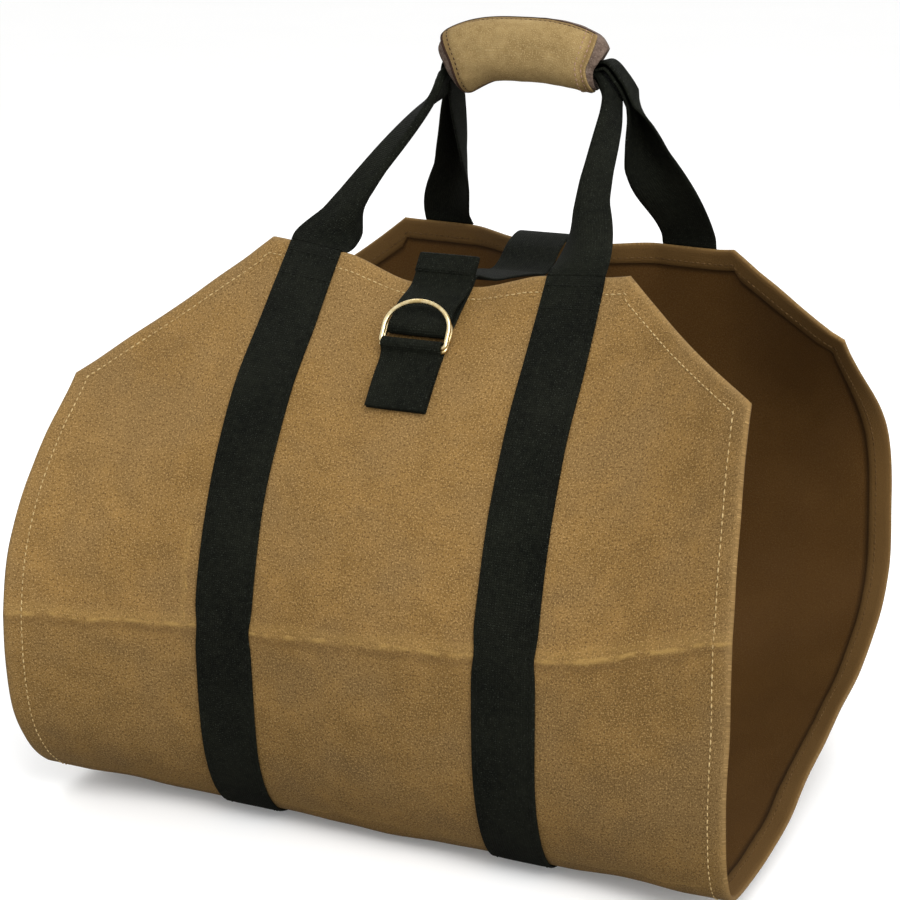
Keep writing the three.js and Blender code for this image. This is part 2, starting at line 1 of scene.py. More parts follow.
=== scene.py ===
# %% [markdown]
# Canvas log carrier, dressed for a render.
# The real thing is one sheet of waxed canvas with its corners cut off, hung from two loops of
# webbing, with a padded grip and a strap that closes over two D-rings. Its solid model is
# loaded as a fixed frame, and every piece made here takes the place of one of its solids.

# %% Load the frame
import math

import bmesh
import bpy
import numpy as np
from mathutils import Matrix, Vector, noise


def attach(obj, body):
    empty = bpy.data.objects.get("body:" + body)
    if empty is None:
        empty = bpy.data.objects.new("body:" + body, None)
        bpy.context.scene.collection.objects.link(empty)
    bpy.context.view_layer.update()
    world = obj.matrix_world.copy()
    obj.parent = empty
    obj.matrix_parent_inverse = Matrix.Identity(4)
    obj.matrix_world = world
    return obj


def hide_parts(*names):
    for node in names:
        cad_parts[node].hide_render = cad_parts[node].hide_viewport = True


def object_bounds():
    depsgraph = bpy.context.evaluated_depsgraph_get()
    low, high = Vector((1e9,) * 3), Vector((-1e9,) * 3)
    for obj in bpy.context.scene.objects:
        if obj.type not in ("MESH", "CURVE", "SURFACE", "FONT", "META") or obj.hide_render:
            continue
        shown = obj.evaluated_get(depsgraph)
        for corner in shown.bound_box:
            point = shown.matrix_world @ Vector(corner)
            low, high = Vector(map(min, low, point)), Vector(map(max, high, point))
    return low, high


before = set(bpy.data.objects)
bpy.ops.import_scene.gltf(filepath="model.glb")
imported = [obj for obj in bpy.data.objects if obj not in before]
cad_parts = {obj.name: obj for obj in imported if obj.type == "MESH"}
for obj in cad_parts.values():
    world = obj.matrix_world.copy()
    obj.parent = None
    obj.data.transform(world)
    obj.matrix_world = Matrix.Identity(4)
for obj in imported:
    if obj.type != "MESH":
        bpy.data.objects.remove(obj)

cad_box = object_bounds()
print("solid model, metres:", [round(b - a, 4) for a, b in zip(*cad_box)])

# %% [markdown]
# The camera stands where the photographer stood: a little to the right of the front, looking
# down by 16 degrees. It is set first, so that each piece can be looked at as it is made.
# Sizes are in millimetres from here on. Zero is the middle of the cloth from side to side, the
# upright plane through the grip, and the lowest fold, and in_metres() moves that to the frame.

# %% Camera
GRIP_SHIFT = 11
GRIP_HEIGHT = 460
GRIP_THICKNESS = 37
MILLIMETRE = 0.001
origin = np.array([GRIP_SHIFT, 0, GRIP_HEIGHT - GRIP_THICKNESS / 2])


def in_metres(points):
    """Points in millimetres, moved to the frame's origin under the grip."""
    return (np.asarray(points, float) - origin) * MILLIMETRE


CAMERA_PLACE = (546, -1258, 592)
CAMERA_PITCH = 16
CAMERA_YAW = 25


def in_scene(name, data):
    """New object in the scene that shows a mesh, a camera or a light."""
    holder = bpy.data.objects.new(name, data)
    bpy.context.scene.collection.objects.link(holder)
    return holder


camera = in_scene("camera", bpy.data.cameras.new("camera"))
camera.location = in_metres(CAMERA_PLACE)
camera.rotation_euler = (math.radians(90 - CAMERA_PITCH), 0, math.radians(CAMERA_YAW))
camera.data.lens = 87
camera.data.sensor_width = 36
bpy.context.scene.camera = camera
print("camera at", [round(v, 3) for v in camera.location])

# %% [markdown]
# The cloth could be draped by a simulation, but it has to keep the outline that the photograph
# shows, so its form is written down instead. One table is the section that a strap follows
# round the bag. Two more say how far the free edges stand off it, and the last how the strap
# closure pulls the panel between the handles. Values between the rows follow a cubic.

# %% Sizes of the cloth and the webbing
SHEET_WIDTH = 457
SHEET_LENGTH = 990
FRONT_REACH = 211
BACK_REACH = 136
BAG_HEIGHT = 340
HEM_LENGTH = 250
CORNER_CUT = 92
CANVAS_WALL = 1.6
HEM_BAND = 14
HEM_STEP = 1.5
EDGE_FLARE = 30
EDGE_LIFT = 36
EDGE_INSET = 22
HEM_SAG = 13
HEM_TURN = 11
HEM_CORNER_LIFT = 5
WEBBING_WIDTH = 38
WEBBING_THICKNESS = 1.8
STRAP_SPACING = 182
CLEARANCE = 0.3
EDGE_BEND = 1.6
CORNER_LIFT_END = 0.12

half_width = SHEET_WIDTH / 2
strap_half = STRAP_SPACING / 2
strap_inner = strap_half - WEBBING_WIDTH / 2
strap_outer = strap_half + WEBBING_WIDTH / 2
closure_flat = WEBBING_WIDTH / 2 + 1
layer_step = WEBBING_THICKNESS + CLEARANCE
sewn_layer = CLEARANCE + WEBBING_THICKNESS / 2
print("straps from", strap_inner, "to", strap_outer, "mm beside the middle")

# %% [markdown]
# The tables. Each row is one place along the sheet, counted as a share of its length from the
# front hem, under the bag, to the back hem. The rows lie closest where the cloth turns most.

# %% Tables of the cloth's form
# Columns: share of the length, share of the reach ahead of the grip (below zero behind it),
# share of the height.
AHEAD, HEIGHT = 1, 2
STRAP_SECTION = np.array([
    (0.0, 0.465, 1.0),
    (0.041, 0.6, 0.9),
    (0.094, 0.768, 0.776),
    (0.153, 0.9, 0.633),
    (0.215, 0.986, 0.462),
    (0.277, 1.0, 0.285),
    (0.33, 0.971, 0.129),
    (0.375, 0.873, 0.024),
    (0.403, 0.752, 0.003),
    (0.472, 0.43, 0.0),
    (0.544, 0.095, 0.021),
    (0.61, -0.33, 0.05),
    (0.653, -0.618, 0.083),
    (0.691, -0.824, 0.141),
    (0.726, -0.949, 0.221),
    (0.767, -1.0, 0.329),
    (0.829, -0.978, 0.494),
    (0.89, -0.912, 0.668),
    (0.949, -0.824, 0.824),
    (1.0, -0.721, 0.958),
])
# Columns: share of the length, flare to the front, lift, inset, each a share of its size.
FLARE, LIFT, INSET = 1, 2, 3
LEFT_EDGE = np.array([
    (0.0, 0.0, -0.2, 0.0),
    (0.094, 0.0, -0.08, 0.0),
    (0.153, 0.37, 0.11, 0.0),
    (0.215, 0.93, 0.25, 0.09),
    (0.3, 1.07, 0.25, 0.09),
    (0.375, 0.77, 0.33, 0.09),
    (0.472, 0.5, 0.25, 0.05),
    (0.61, 0.27, 0.33, 0.05),
    (0.767, 0.0, 0.44, 0.09),
    (0.906, 0.9, 0.5, 0.4),
    (1.0, 1.2, 0.5, 0.6),
])
RIGHT_EDGE = np.array([
    (0.0, 1.0, 1.1, 0.4),
    (0.094, 0.93, 1.0, 0.3),
    (0.153, 0.63, 0.72, 0.23),
    (0.215, 0.23, 0.64, 0.23),
    (0.277, 0.27, 0.58, 0.18),
    (0.33, 0.5, 0.56, 0.18),
    (0.375, 0.73, 0.36, 0.14),
    (0.472, 0.7, 0.42, 0.09),
    (0.544, 0.67, 0.72, 0.09),
    (0.61, 0.5, 0.92, 0.09),
    (0.691, 0.0, 0.97, 0.09),
    (0.767, 0.03, 0.86, 0.18),
    (0.829, 0.3, 1.17, 0.36),
    (0.906, 1.8, 1.06, 1.0),
    (1.0, 2.0, 1.1, 1.3),
])
# Columns: share of the length, flare and sag as shares of HEM_SAG, turn as one of HEM_TURN.
SAG, TURN = 2, 3
MIDDLE_PANEL = np.array([
    (0.0, -0.3, 1.0, 1.0),
    (0.041, 0.08, 0.3, 0.6),
    (0.094, 0.08, 0.12, 0.2),
    (0.2, 0.25, 0.0, 0.0),
    (0.45, 0.0, 0.15, 0.0),
    (0.8, -0.3, 0.0, 0.0),
    (0.9, 0.1, 0.0, 0.2),
    (0.949, 0.8, 0.05, 0.5),
    (1.0, 1.7, 0.15, 0.75),
])
print("rows:", [len(rows) for rows in (STRAP_SECTION, LEFT_EDGE, RIGHT_EDGE, MIDDLE_PANEL)])

# %% [markdown]
# One function now gives any point of the cloth from two numbers, how far across and how far
# along. Everything that touches the cloth asks it, so nothing has to be fitted by hand. Its
# slopes give the direction out of the bag, for whatever lies on the cloth.

# %% Points of the cloth
def column_at(rows, column, along):
    """Smooth value of one column at shares of the length, a cubic through the rows."""
    at, values = rows[:, 0], rows[:, column]
    ahead, behind = np.r_[1 : len(at), len(at) - 1], np.r_[0, 0 : len(at) - 1]
    slope = (values[ahead] - values[behind]) / (at[ahead] - at[behind])
    i = np.clip(np.searchsorted(at, along) - 1, 0, len(at) - 2)
    span = at[i + 1] - at[i]
    t = (along - at[i]) / span
    start = values[i] * (1 + 2 * t) * (1 - t) ** 2 + slope[i] * span * t * (1 - t) ** 2
    return start + values[i + 1] * t * t * (3 - 2 * t) + slope[i + 1] * span * t * t * (t - 1)


def smooth_step(t):
    t = np.clip(t, 0, 1)
    return t * t * (3 - 2 * t)


def unit(vectors):
    return vectors / np.linalg.norm(vectors, axis=-1, keepdims=True)


def sheet_point(across, along):
    """Outer face of the cloth, millimetres from its middle line and a share of its length."""
    across, along = np.broadcast_arrays(np.asarray(across, float), np.asarray(along, float))
    side = np.where(across < 0, -1.0, 1.0)
    distance = np.abs(across)

    def edge(column):
        left, right = column_at(LEFT_EDGE, column, along), column_at(RIGHT_EDGE, column, along)
        return np.where(across < 0, left, right)

    def panel(column):
        return column_at(MIDDLE_PANEL, column, along)

    beyond = np.maximum(0, distance - strap_outer) / (half_width - strap_outer)
    bend = beyond**EDGE_BEND
    middle = smooth_step((strap_inner - distance) / (strap_inner - closure_flat))
    from_middle = side * np.maximum(0, distance - closure_flat) / (strap_half - closure_flat)
    past_strap = np.clip((distance - strap_inner) / (HEM_LENGTH / 2 - strap_inner), 0, 1)
    section_y = column_at(STRAP_SECTION, AHEAD, along)
    reach = np.where(section_y > 0, FRONT_REACH, BACK_REACH)
    flare = EDGE_FLARE * edge(FLARE) * bend + HEM_SAG * panel(FLARE) * middle
    turn = HEM_TURN * panel(TURN) * from_middle
    lift = EDGE_LIFT * edge(LIFT) * bend - HEM_SAG * panel(SAG) * middle
    lift = lift + HEM_CORNER_LIFT * past_strap * np.maximum(0, 1 - along / CORNER_LIFT_END)
    x = across - side * EDGE_INSET * edge(INSET) * beyond**2
    y = -section_y * reach - flare - turn
    z = BAG_HEIGHT * column_at(STRAP_SECTION, HEIGHT, along) + lift
    return np.stack([x, y, z], -1)


def sheet_out(across, along, step=0.004):
    """Direction out of the bag at a place on the cloth."""
    run = sheet_point(across, np.minimum(1, along + step))
    run = run - sheet_point(across, np.maximum(0, along - step))
    wide = sheet_point(np.minimum(half_width, across + 1.0), along)
    wide = wide - sheet_point(np.maximum(-half_width, across - 1.0), along)
    return unit(np.cross(run, wide))


corners = sheet_point(np.array([-125, 125, -half_width, half_width]), np.array([0, 0, 0.1, 0.1]))
print("front hem and its cut corners:", corners.round().tolist())

# %% [markdown]
# A real sheet that was packed flat keeps a crease where it was folded, swells a little between
# its seams and draws in along each row of stitches. That relief is at most 3 mm high. It is a
# function of the same two coordinates, so the webbing that is sewn on follows it too.

# %% Relief of the cloth
QUARTER_CREASE = 233
CREASE_SLOPE = 0.07
SIDE_CREASE = -118
WORN_LINE = 362
CREASE_HEIGHT = 1.6
CREASE_SPREAD = 8
SIDE_CREASE_HEIGHT = 0.6
SIDE_CREASE_SPREAD = 1.8
SIDE_CREASE_TOP = 150
STRAP_HOLD = 60
STRAP_SHARE = 0.45
HEM_PUCKER_PLACE = 12
# Height and size of the swellings between the seams, the large ones, the small ones and the
# puckers along the hem seam.
SWELL = (2.6, 95)
SMALL_SWELL = (1.2, 34)
PUCKER = (0.35, 8)


def ripples(across, length, size, seed):
    """Smooth noise between about -0.5 and 0.5, its bumps a given size in millimetres."""
    flat = np.broadcast_arrays(across / size, length / size)
    values = [noise.noise(Vector((a, b, seed))) for a, b in zip(flat[0].ravel(), flat[1].ravel())]
    return np.array(values).reshape(flat[0].shape)


def from_crease(across, length):
    """Distance down the sheet from the crease where it was folded in four, a little askew."""
    return length - (QUARTER_CREASE - CREASE_SLOPE * across)


def side_crease(across, length):
    """Share of the short upright crease beside the left strap."""
    share = np.exp(-(((across - SIDE_CREASE) / SIDE_CREASE_SPREAD) ** 2))
    top = smooth_step((length - SIDE_CREASE_TOP) / 50)
    return share * top * smooth_step((QUARTER_CREASE + 12 - length) / 8)


def relief(across, along):
    """Height of creases, swellings and puckers over the plain form of the cloth."""
    across, along = np.broadcast_arrays(np.asarray(across, float), np.asarray(along, float))
    length = along * SHEET_LENGTH
    distance = np.abs(across)
    beside_strap = np.minimum(np.abs(distance - strap_half), STRAP_HOLD) / STRAP_HOLD
    panel = smooth_step(beside_strap)
    swell = SWELL[0] * panel * ripples(across, length, SWELL[1], 3.1)
    swell = swell + SMALL_SWELL[0] * panel * ripples(across, length, SMALL_SWELL[1], 7.7)
    fold = CREASE_HEIGHT * np.exp(-np.abs(from_crease(across, length)) / CREASE_SPREAD)
    broken = np.clip(0.75 + 1.4 * ripples(across, length, 70, 5), 0.2, 1)
    fold = fold * (STRAP_SHARE + (1 - STRAP_SHARE) * panel) * broken
    upright = SIDE_CREASE_HEIGHT * side_crease(across, length)
    to_side = half_width - distance
    to_hem = np.minimum(length, SHEET_LENGTH - length)
    near_edge = np.exp(-(((np.minimum(to_side, to_hem) - HEM_PUCKER_PLACE) / 9) ** 2))
    pucker = PUCKER[0] * near_edge * ripples(across, length, PUCKER[1], 11)
    return swell + fold + upright + pucker


def cloth_point(across, along, height=0.0):
    """Cloth with its relief, or a place that height above its outer face."""
    lifted = np.asarray(relief(across, along) + height)[..., None]
    return sheet_point(across, along) + sheet_out(across, along) * lifted


sample = relief(np.linspace(-220, 220, 45)[None, :], np.linspace(0.02, 0.98, 60)[:, None])
print("relief in mm, lowest and highest:", sample.min().round(2), sample.max().round(2))

# %% [markdown]
# Cloth and webbing are both a face, a back and a rounded edge, so one helper makes them all. It
# takes two grids of points and adds a row of points half way round the edge, which reads as a
# fold in soft light. It also lays a UV map in metres along the cloth: a weave drawn on it keeps
# its size and follows every bend.

# %% A body from two grids of points
def new_object(name, vertices, faces, material):
    mesh = bpy.data.meshes.new(name)
    mesh.from_pydata(in_metres(vertices).tolist(), [], faces)
    mesh.validate()
    mesh.materials.append(material)
    mesh.polygons.foreach_set("use_smooth", [True] * len(mesh.polygons))
    return in_scene(name, mesh)


def outward(piece):
    """Turns every face of a closed mesh outwards."""
    work = bmesh.new()
    work.from_mesh(piece.data)
    bmesh.ops.recalc_face_normals(work, faces=work.faces)
    work.to_mesh(piece.data)
    work.free()
    return piece


def set_uv(piece, places):
    """UV map in metres from one flat place, in millimetres, for each vertex."""
    layer = piece.data.uv_layers.new(name="flat")
    corner = np.empty(len(piece.data.loops), int)
    piece.data.loops.foreach_get("vertex_index", corner)
    layer.data.foreach_set("uv", (np.asarray(places)[corner] * MILLIMETRE).ravel())


def set_number(piece, name, values):
    piece.data.attributes.new(name, "FLOAT", "POINT").data.foreach_set("value", values)


def border(rows, columns):
    """Index of each point on the edge of a grid, once round, and of its neighbour inside."""
    r, c = np.arange(rows), np.arange(columns)
    loop = [(0, k) for k in c] + [(k, columns - 1) for k in r[1:]]
    loop += [(rows - 1, k) for k in c[-2::-1]] + [(k, 0) for k in r[-2:0:-1]]
    loop = np.array(loop)
    inside = np.c_[np.clip(loop[:, 0], 1, rows - 2), np.clip(loop[:, 1], 1, columns - 2)]
    return loop @ [columns, 1], inside @ [columns, 1]


def grid_body(name, face, back, flat, material, bulge=0.35):
    """Closed body between two grids, its edge rounded outwards by a share of its thickness."""
    rows, columns = face.shape[:2]
    count = rows * columns
    front, rear = face.reshape(-1, 3), back.reshape(-1, 3)
    edge, inside = border(rows, columns)
    thick = np.linalg.norm(front[edge] - rear[edge], axis=1, keepdims=True)
    middle = (front[edge] + rear[edge]) / 2 + unit(front[edge] - front[inside]) * thick * bulge
    r, c = np.mgrid[0 : rows - 1, 0 : columns - 1]
    a = (r * columns + c).ravel()
    quads = np.c_[a, a + 1, a + columns + 1, a + columns]
    rim = count * 2 + np.arange(len(edge))
    after = np.roll(np.arange(len(edge)), -1)
    faces = np.vstack([
        quads,
        quads[:, ::-1] + count,
        np.c_[edge[after], edge, rim, rim[after]],
        np.c_[rim[after], rim, edge + count, edge[after] + count],
    ])
    piece = new_object(name, np.vstack([front, rear, middle]), faces.tolist(), material)
    flat = flat.reshape(-1, 2)
    set_uv(piece, np.vstack([flat, flat, flat[edge]]))
    inner = np.r_[np.zeros(count), np.ones(count), np.full(len(edge), 0.3)]
    set_number(piece, "inner", inner)
    return outward(piece)


print("a 3 by 3 grid has", len(border(3, 3)[0]), "points on its edge")

# %% [markdown]
# Finishes come next. The canvas, the webbing, the grip and the felt are all woven or matted, so
# three shader groups are shared between them: one for the weave, one for cloudy mottling and
# one for fine flecks. Each material gives them its own sizes and colours.

# %% Helpers for shader nodes
def put(tree, socket, value):
    """Links a value's socket to a socket, or sets the socket to a plain value."""
    if isinstance(value, bpy.types.NodeSocket):
        tree.links.new(value, socket)
    else:
        socket.default_value = value


def give(tree, node, values):
    """Gives inputs of a node their values, by name or by place."""
    for key, value in dict(values).items():
        put(tree, node.inputs[key], value)


def add(tree, kind, inputs=(), **settings):
    """New node with its settings first, because they decide which inputs it has."""
    node = tree.nodes.new(kind)
    for key, value in settings.items():
        setattr(node, key, value)
    give(tree, node, inputs)
    return node


def made(tree, kind, inputs=(), **settings):
    """First output of a new node."""
    return add(tree, kind, inputs, **settings).outputs[0]


def calculate(tree, operation, *values):
    return made(tree, "ShaderNodeMath", enumerate(values), operation=operation)


def times(tree, first, second):
    return calculate(tree, "MULTIPLY", first, second)


def mix(tree, share, first, second, blend="MIX"):
    colours = {"Factor": share, "A": first, "B": second}
    node = add(tree, "ShaderNodeMix", colours, data_type="RGBA", blend_type=blend)
    return node.outputs["Result"]


def spread(tree, value, low, high, to_low=0.0, to_high=1.0):
    """Stretches the range from low to high to another one, and stops at its ends."""
    return made(tree, "ShaderNodeMapRange", enumerate((value, low, high, to_low, to_high)))


def speckle(tree, vector, scale, detail=2.0, roughness=0.5):
    values = {"Vector": vector, "Scale": scale, "Detail": detail, "Roughness": roughness}
    return add(tree, "ShaderNodeTexNoise", values).outputs["Fac"]


def new_group(name, inputs, outputs, kind="ShaderNodeTree"):
    """Node group with named sockets, each given as (name, kind, default)."""
    tree = bpy.data.node_groups.new(name, kind)
    for label, socket_kind, value in inputs:
        socket = tree.interface.new_socket(label, in_out="INPUT", socket_type=socket_kind)
        if value is not None:
            socket.default_value = value
    for label, socket_kind in outputs:
        tree.interface.new_socket(label, in_out="OUTPUT", socket_type=socket_kind)
    return tree, add(tree, "NodeGroupInput").outputs, add(tree, "NodeGroupOutput").inputs


def use_group(tree, group, **values):
    """Places a group in a material. Underscores in the names stand for spaces."""
    named = {key.replace("_", " "): value for key, value in values.items()}
    return add(tree, "ShaderNodeGroup", named, node_tree=group).outputs


print("helpers for shader nodes are ready")


# %% [markdown]
# Weave: two sets of parallel threads that cross. A sine along each direction gives the height
# of one set, and the higher of the two is on top. A little noise bends the threads, because a
# perfect grid looks printed.

# %% Weave group
NUMBER, VECTOR, COLOUR = "NodeSocketFloat", "NodeSocketVector", "NodeSocketColor"
weave, given, result = new_group(
    "weave",
    [
        ("Vector", VECTOR, None),
        ("Warp Pitch", NUMBER, 0.001),
        ("Weft Pitch", NUMBER, 0.001),
        ("Unevenness", NUMBER, 0.3),
    ],
    [("Height", NUMBER)],
)
parts = add(weave, "ShaderNodeSeparateXYZ", {0: given["Vector"]})
bent = speckle(weave, given["Vector"], 260.0, 1.0)
bent = times(weave, calculate(weave, "SUBTRACT", bent, 0.5), given["Unevenness"])


def thread(place, pitch, shift):
    """Height of one set of threads, from 0 to 1."""
    turns = calculate(weave, "ADD", calculate(weave, "DIVIDE", place, pitch), shift)
    wave = calculate(weave, "SINE", times(weave, turns, math.tau))
    return calculate(weave, "MULTIPLY_ADD", wave, 0.5, 0.5)


warp = thread(parts.outputs["X"], given["Warp Pitch"], bent)
weft = thread(parts.outputs["Y"], given["Weft Pitch"], bent)
put(weave, result["Height"], calculate(weave, "MAXIMUM", warp, weft))
print("weave group:", len(weave.nodes), "nodes")

# %% [markdown]
# Mottling: wax soaks into canvas unevenly and felt is matted from fibres of several colours, so
# both have clouds of two sizes. Fleck: single light or dark fibres about a millimetre long.

# %% Mottling and fleck groups
mottle, given, result = new_group(
    "mottle",
    [
        ("Vector", VECTOR, None),
        ("Cloud Size", NUMBER, 0.06),
        ("Patch Size", NUMBER, 0.012),
        ("Dark", COLOUR, (0.1, 0.1, 0.1, 1)),
        ("Light", COLOUR, (0.5, 0.5, 0.5, 1)),
    ],
    [("Colour", COLOUR), ("Share", NUMBER)],
)
clouds, patches = [
    speckle(mottle, given["Vector"], calculate(mottle, "DIVIDE", 1.0, given[size]), 3.0)
    for size in ("Cloud Size", "Patch Size")
]
share = calculate(mottle, "MULTIPLY_ADD", patches, 0.45, times(mottle, clouds, 0.55))
share = spread(mottle, share, 0.36, 0.64)
put(mottle, result["Colour"], mix(mottle, share, given["Dark"], given["Light"]))
put(mottle, result["Share"], share)

fleck, given, result = new_group(
    "fleck",
    [
        ("Vector", VECTOR, None),
        ("Size", NUMBER, 0.001),
        ("Amount", NUMBER, 0.3),
        ("Colour", COLOUR, (0.5, 0.5, 0.5, 1)),
        ("Fleck Colour", COLOUR, (1, 1, 1, 1)),
    ],
    [("Colour", COLOUR), ("Mask", NUMBER)],
)
grain = speckle(fleck, given["Vector"], calculate(fleck, "DIVIDE", 1.0, given["Size"]), 1.0, 0.7)
level = calculate(fleck, "SUBTRACT", 0.72, times(fleck, given["Amount"], 0.3))
mask = spread(fleck, grain, level, calculate(fleck, "ADD", level, 0.12))
put(fleck, result["Colour"], mix(fleck, mask, given["Colour"], given["Fleck Colour"]))
put(fleck, result["Mask"], mask)
print("mottle group:", len(mottle.nodes), "nodes, fleck group:", len(fleck.nodes), "nodes")

# %% [markdown]
# Old folds show as lines: along the fold the wax has cracked and looks paler, a softer painted
# highlight lies just above it, and just below it painted shade makes the cloth a little darker. The
# group takes a distance from the fold, which each material works out from its own UV map, and breaks
# the line up with noise.

# %% Fold line group
fold_line, given, result = new_group(
    "fold line",
    [
        ("Vector", VECTOR, None),
        ("Distance", NUMBER, 0.0),
        ("Width", NUMBER, 0.0016),
        ("Break Size", NUMBER, 0.01),
        ("Shadow Width", NUMBER, 0.006),
    ],
    [("Pale", NUMBER), ("Shade", NUMBER)],
)
away = calculate(fold_line, "ABSOLUTE", given["Distance"])
line = spread(fold_line, calculate(fold_line, "DIVIDE", away, given["Width"]), 0.2, 1, 1, 0)
break_scale = calculate(fold_line, "DIVIDE", 1.0, given["Break Size"])
breaks = speckle(fold_line, given["Vector"], break_scale, 3.0)
line = times(fold_line, line, spread(fold_line, breaks, 0.4, 0.58, 0.12, 1))
steps_down = calculate(fold_line, "DIVIDE", given["Distance"], given["Shadow Width"])


def band(middle, half, height):
    """Soft band beside the line: its middle and half width in steps down, and its height."""
    from_middle = calculate(fold_line, "SUBTRACT", steps_down, middle)
    return spread(fold_line, calculate(fold_line, "ABSOLUTE", from_middle), 0, half, height, 0)


# Painted highlight in a band above the fold line, and painted shade in a band below it.
painted_highlight_band = band(middle=-0.6, half=1, height=0.3)
below = band(middle=0.7, half=0.8, height=1)
patchy = spread(fold_line, breaks, 0.3, 0.6, 0.3, 1)
put(fold_line, result["Pale"], calculate(fold_line, "MAXIMUM", line, painted_highlight_band))
put(fold_line, result["Shade"], times(fold_line, below, patchy))
print("fold line group:", len(fold_line.nodes), "nodes")

# %% [markdown]
# Waxed canvas is a matt weave under a thin, slightly shiny film. Its tan is cloudy, with pale
# flecks of bare cotton and greyer places where the wax has gone dull. It could be one noise
# texture, but real cloth shows patterns of several sizes at once, so the groups are stacked.

# %% Waxed canvas
def new_material(name, coordinates):
    """Material with its node tree, its shader and its places, from the UV map or the object."""
    material = bpy.data.materials.new(name)
    material.use_nodes = True
    tree = material.node_tree
    place = add(tree, "ShaderNodeTexCoord").outputs[coordinates]
    return material, tree, tree.nodes["Principled BSDF"], place


def mottled(tree, place, cloud, patch, dark, light):
    """Cloudy colour from a dark one to a light one, with the sizes of its clouds in metres."""
    return use_group(
        tree, mottle, Vector=place, Cloud_Size=cloud, Patch_Size=patch,
        Dark=(*dark, 1), Light=(*light, 1),
    )


def flecked(tree, place, size, amount, colour, fleck_colour):
    """A colour with flecks of another one in it."""
    return use_group(
        tree, fleck, Vector=place, Size=size, Amount=amount,
        Colour=colour, Fleck_Colour=(*fleck_colour, 1),
    )


def woven(tree, place, warp, weft, unevenness):
    """Height of a weave, with the pitch of its threads in metres."""
    return use_group(
        tree, weave, Vector=place, Warp_Pitch=warp, Weft_Pitch=weft, Unevenness=unevenness
    )["Height"]


def dress_shader(tree, shader, colour, roughness, specular, height, depth, strength):
    """Gives the shader its colour and shine, and a bump of a depth in millimetres."""
    values = {"Height": height, "Distance": depth * MILLIMETRE, "Strength": strength}
    give(tree, shader, {
        "Base Color": colour,
        "Roughness": roughness,
        "Specular IOR Level": specular,
        "Normal": made(tree, "ShaderNodeBump", values),
    })


def number(tree, name):
    return add(tree, "ShaderNodeAttribute", attribute_name=name).outputs["Fac"]


waxed_canvas, tree, shader, place = new_material("waxed_canvas", "UV")
clouds = mottled(
    tree, place, cloud=0.07, patch=0.016, dark=(0.17, 0.095, 0.026), light=(0.275, 0.158, 0.048)
)
worn_grey = spread(tree, speckle(tree, place, 15.0, 4.0, 0.55), 0.44, 0.6, 0, 0.55)
dull = mix(tree, worn_grey, clouds["Colour"], (0.165, 0.103, 0.042, 1))
pale_grain = flecked(
    tree, place, size=0.001, amount=0.63, colour=dull, fleck_colour=(0.36, 0.225, 0.085)
)
deep_grain = flecked(
    tree, place, size=0.0013,
    amount=0.6, colour=pale_grain["Colour"], fleck_colour=(0.122, 0.066, 0.019),
)["Colour"]
# Painted shade: a cool darker tint, mixed in by a number on each vertex, darkens the lower front and
# the back of the cloth.
painted_shade_tint = mix(tree, 1.0, deep_grain, (0.64, 0.67, 0.72, 1), "MULTIPLY")
painted_shade_colour = mix(tree, times(tree, number(tree, "painted_shade"), 0.6), deep_grain, painted_shade_tint)
print("cloth colour:", len(tree.nodes), "nodes")

# %% [markdown]
# Three old folds are drawn on the canvas from its UV map, in metres: one a quarter of the way
# down, where the sheet was folded in four, a short upright one beside the left strap, and a
# faint one where the front turns under. The relief lifts the cloth along the first two, but is
# too coarse for their thin, broken line. Noise makes each line wander a few millimetres.

# %% Old folds on the canvas
PALE_FOLD = (0.4, 0.252, 0.078, 1)
FOLD_SHADE = (0.125, 0.07, 0.022, 1)
PALE_EDGE = (0.3, 0.195, 0.08, 1)
flat_axes = add(tree, "ShaderNodeSeparateXYZ", {0: place}).outputs
across_cloth, down_cloth = flat_axes["X"], flat_axes["Y"]
wander = calculate(tree, "SUBTRACT", speckle(tree, place, 26.0, 4.0), 0.5)


def drawn_fold(measure, at, wandering, **sizes):
    """Fold line where a measure in metres reaches a place in millimetres."""
    away = calculate(tree, "SUBTRACT", measure, at * MILLIMETRE)
    away = calculate(tree, "MULTIPLY_ADD", wander, wandering, away)
    return use_group(tree, fold_line, Vector=place, Distance=away, **sizes)


askew = calculate(tree, "MULTIPLY_ADD", across_cloth, CREASE_SLOPE, down_cloth)
quarter = drawn_fold(askew, QUARTER_CREASE, 0.013, Width=0.0022)
upright = drawn_fold(across_cloth, SIDE_CREASE, 0.009, Width=0.0013, Shadow_Width=0.003)
worn = drawn_fold(down_cloth, WORN_LINE, 0.03, Width=0.0016, Break_Size=0.03)
begins, ends = spread(tree, down_cloth, 0.16, 0.2), spread(tree, down_cloth, 0.246, 0.238)
upright_part = times(tree, begins, ends)
pale_line = calculate(tree, "MAXIMUM", quarter["Pale"], times(tree, upright["Pale"], upright_part))
pale_line = calculate(tree, "MAXIMUM", pale_line, times(tree, worn["Pale"], 0.45))
# Painted shade below the quarter crease, then the pale line, which is cracked wax with a painted
# highlight above it.
creased = mix(tree, times(tree, quarter["Shade"], 0.55), painted_shade_colour, FOLD_SHADE)
creased = mix(tree, times(tree, pale_line, 0.62), creased, PALE_FOLD)
rubbed = mix(tree, times(tree, number(tree, "fold_edge"), 0.3), creased, PALE_EDGE)
print("with folds:", len(tree.nodes), "nodes")
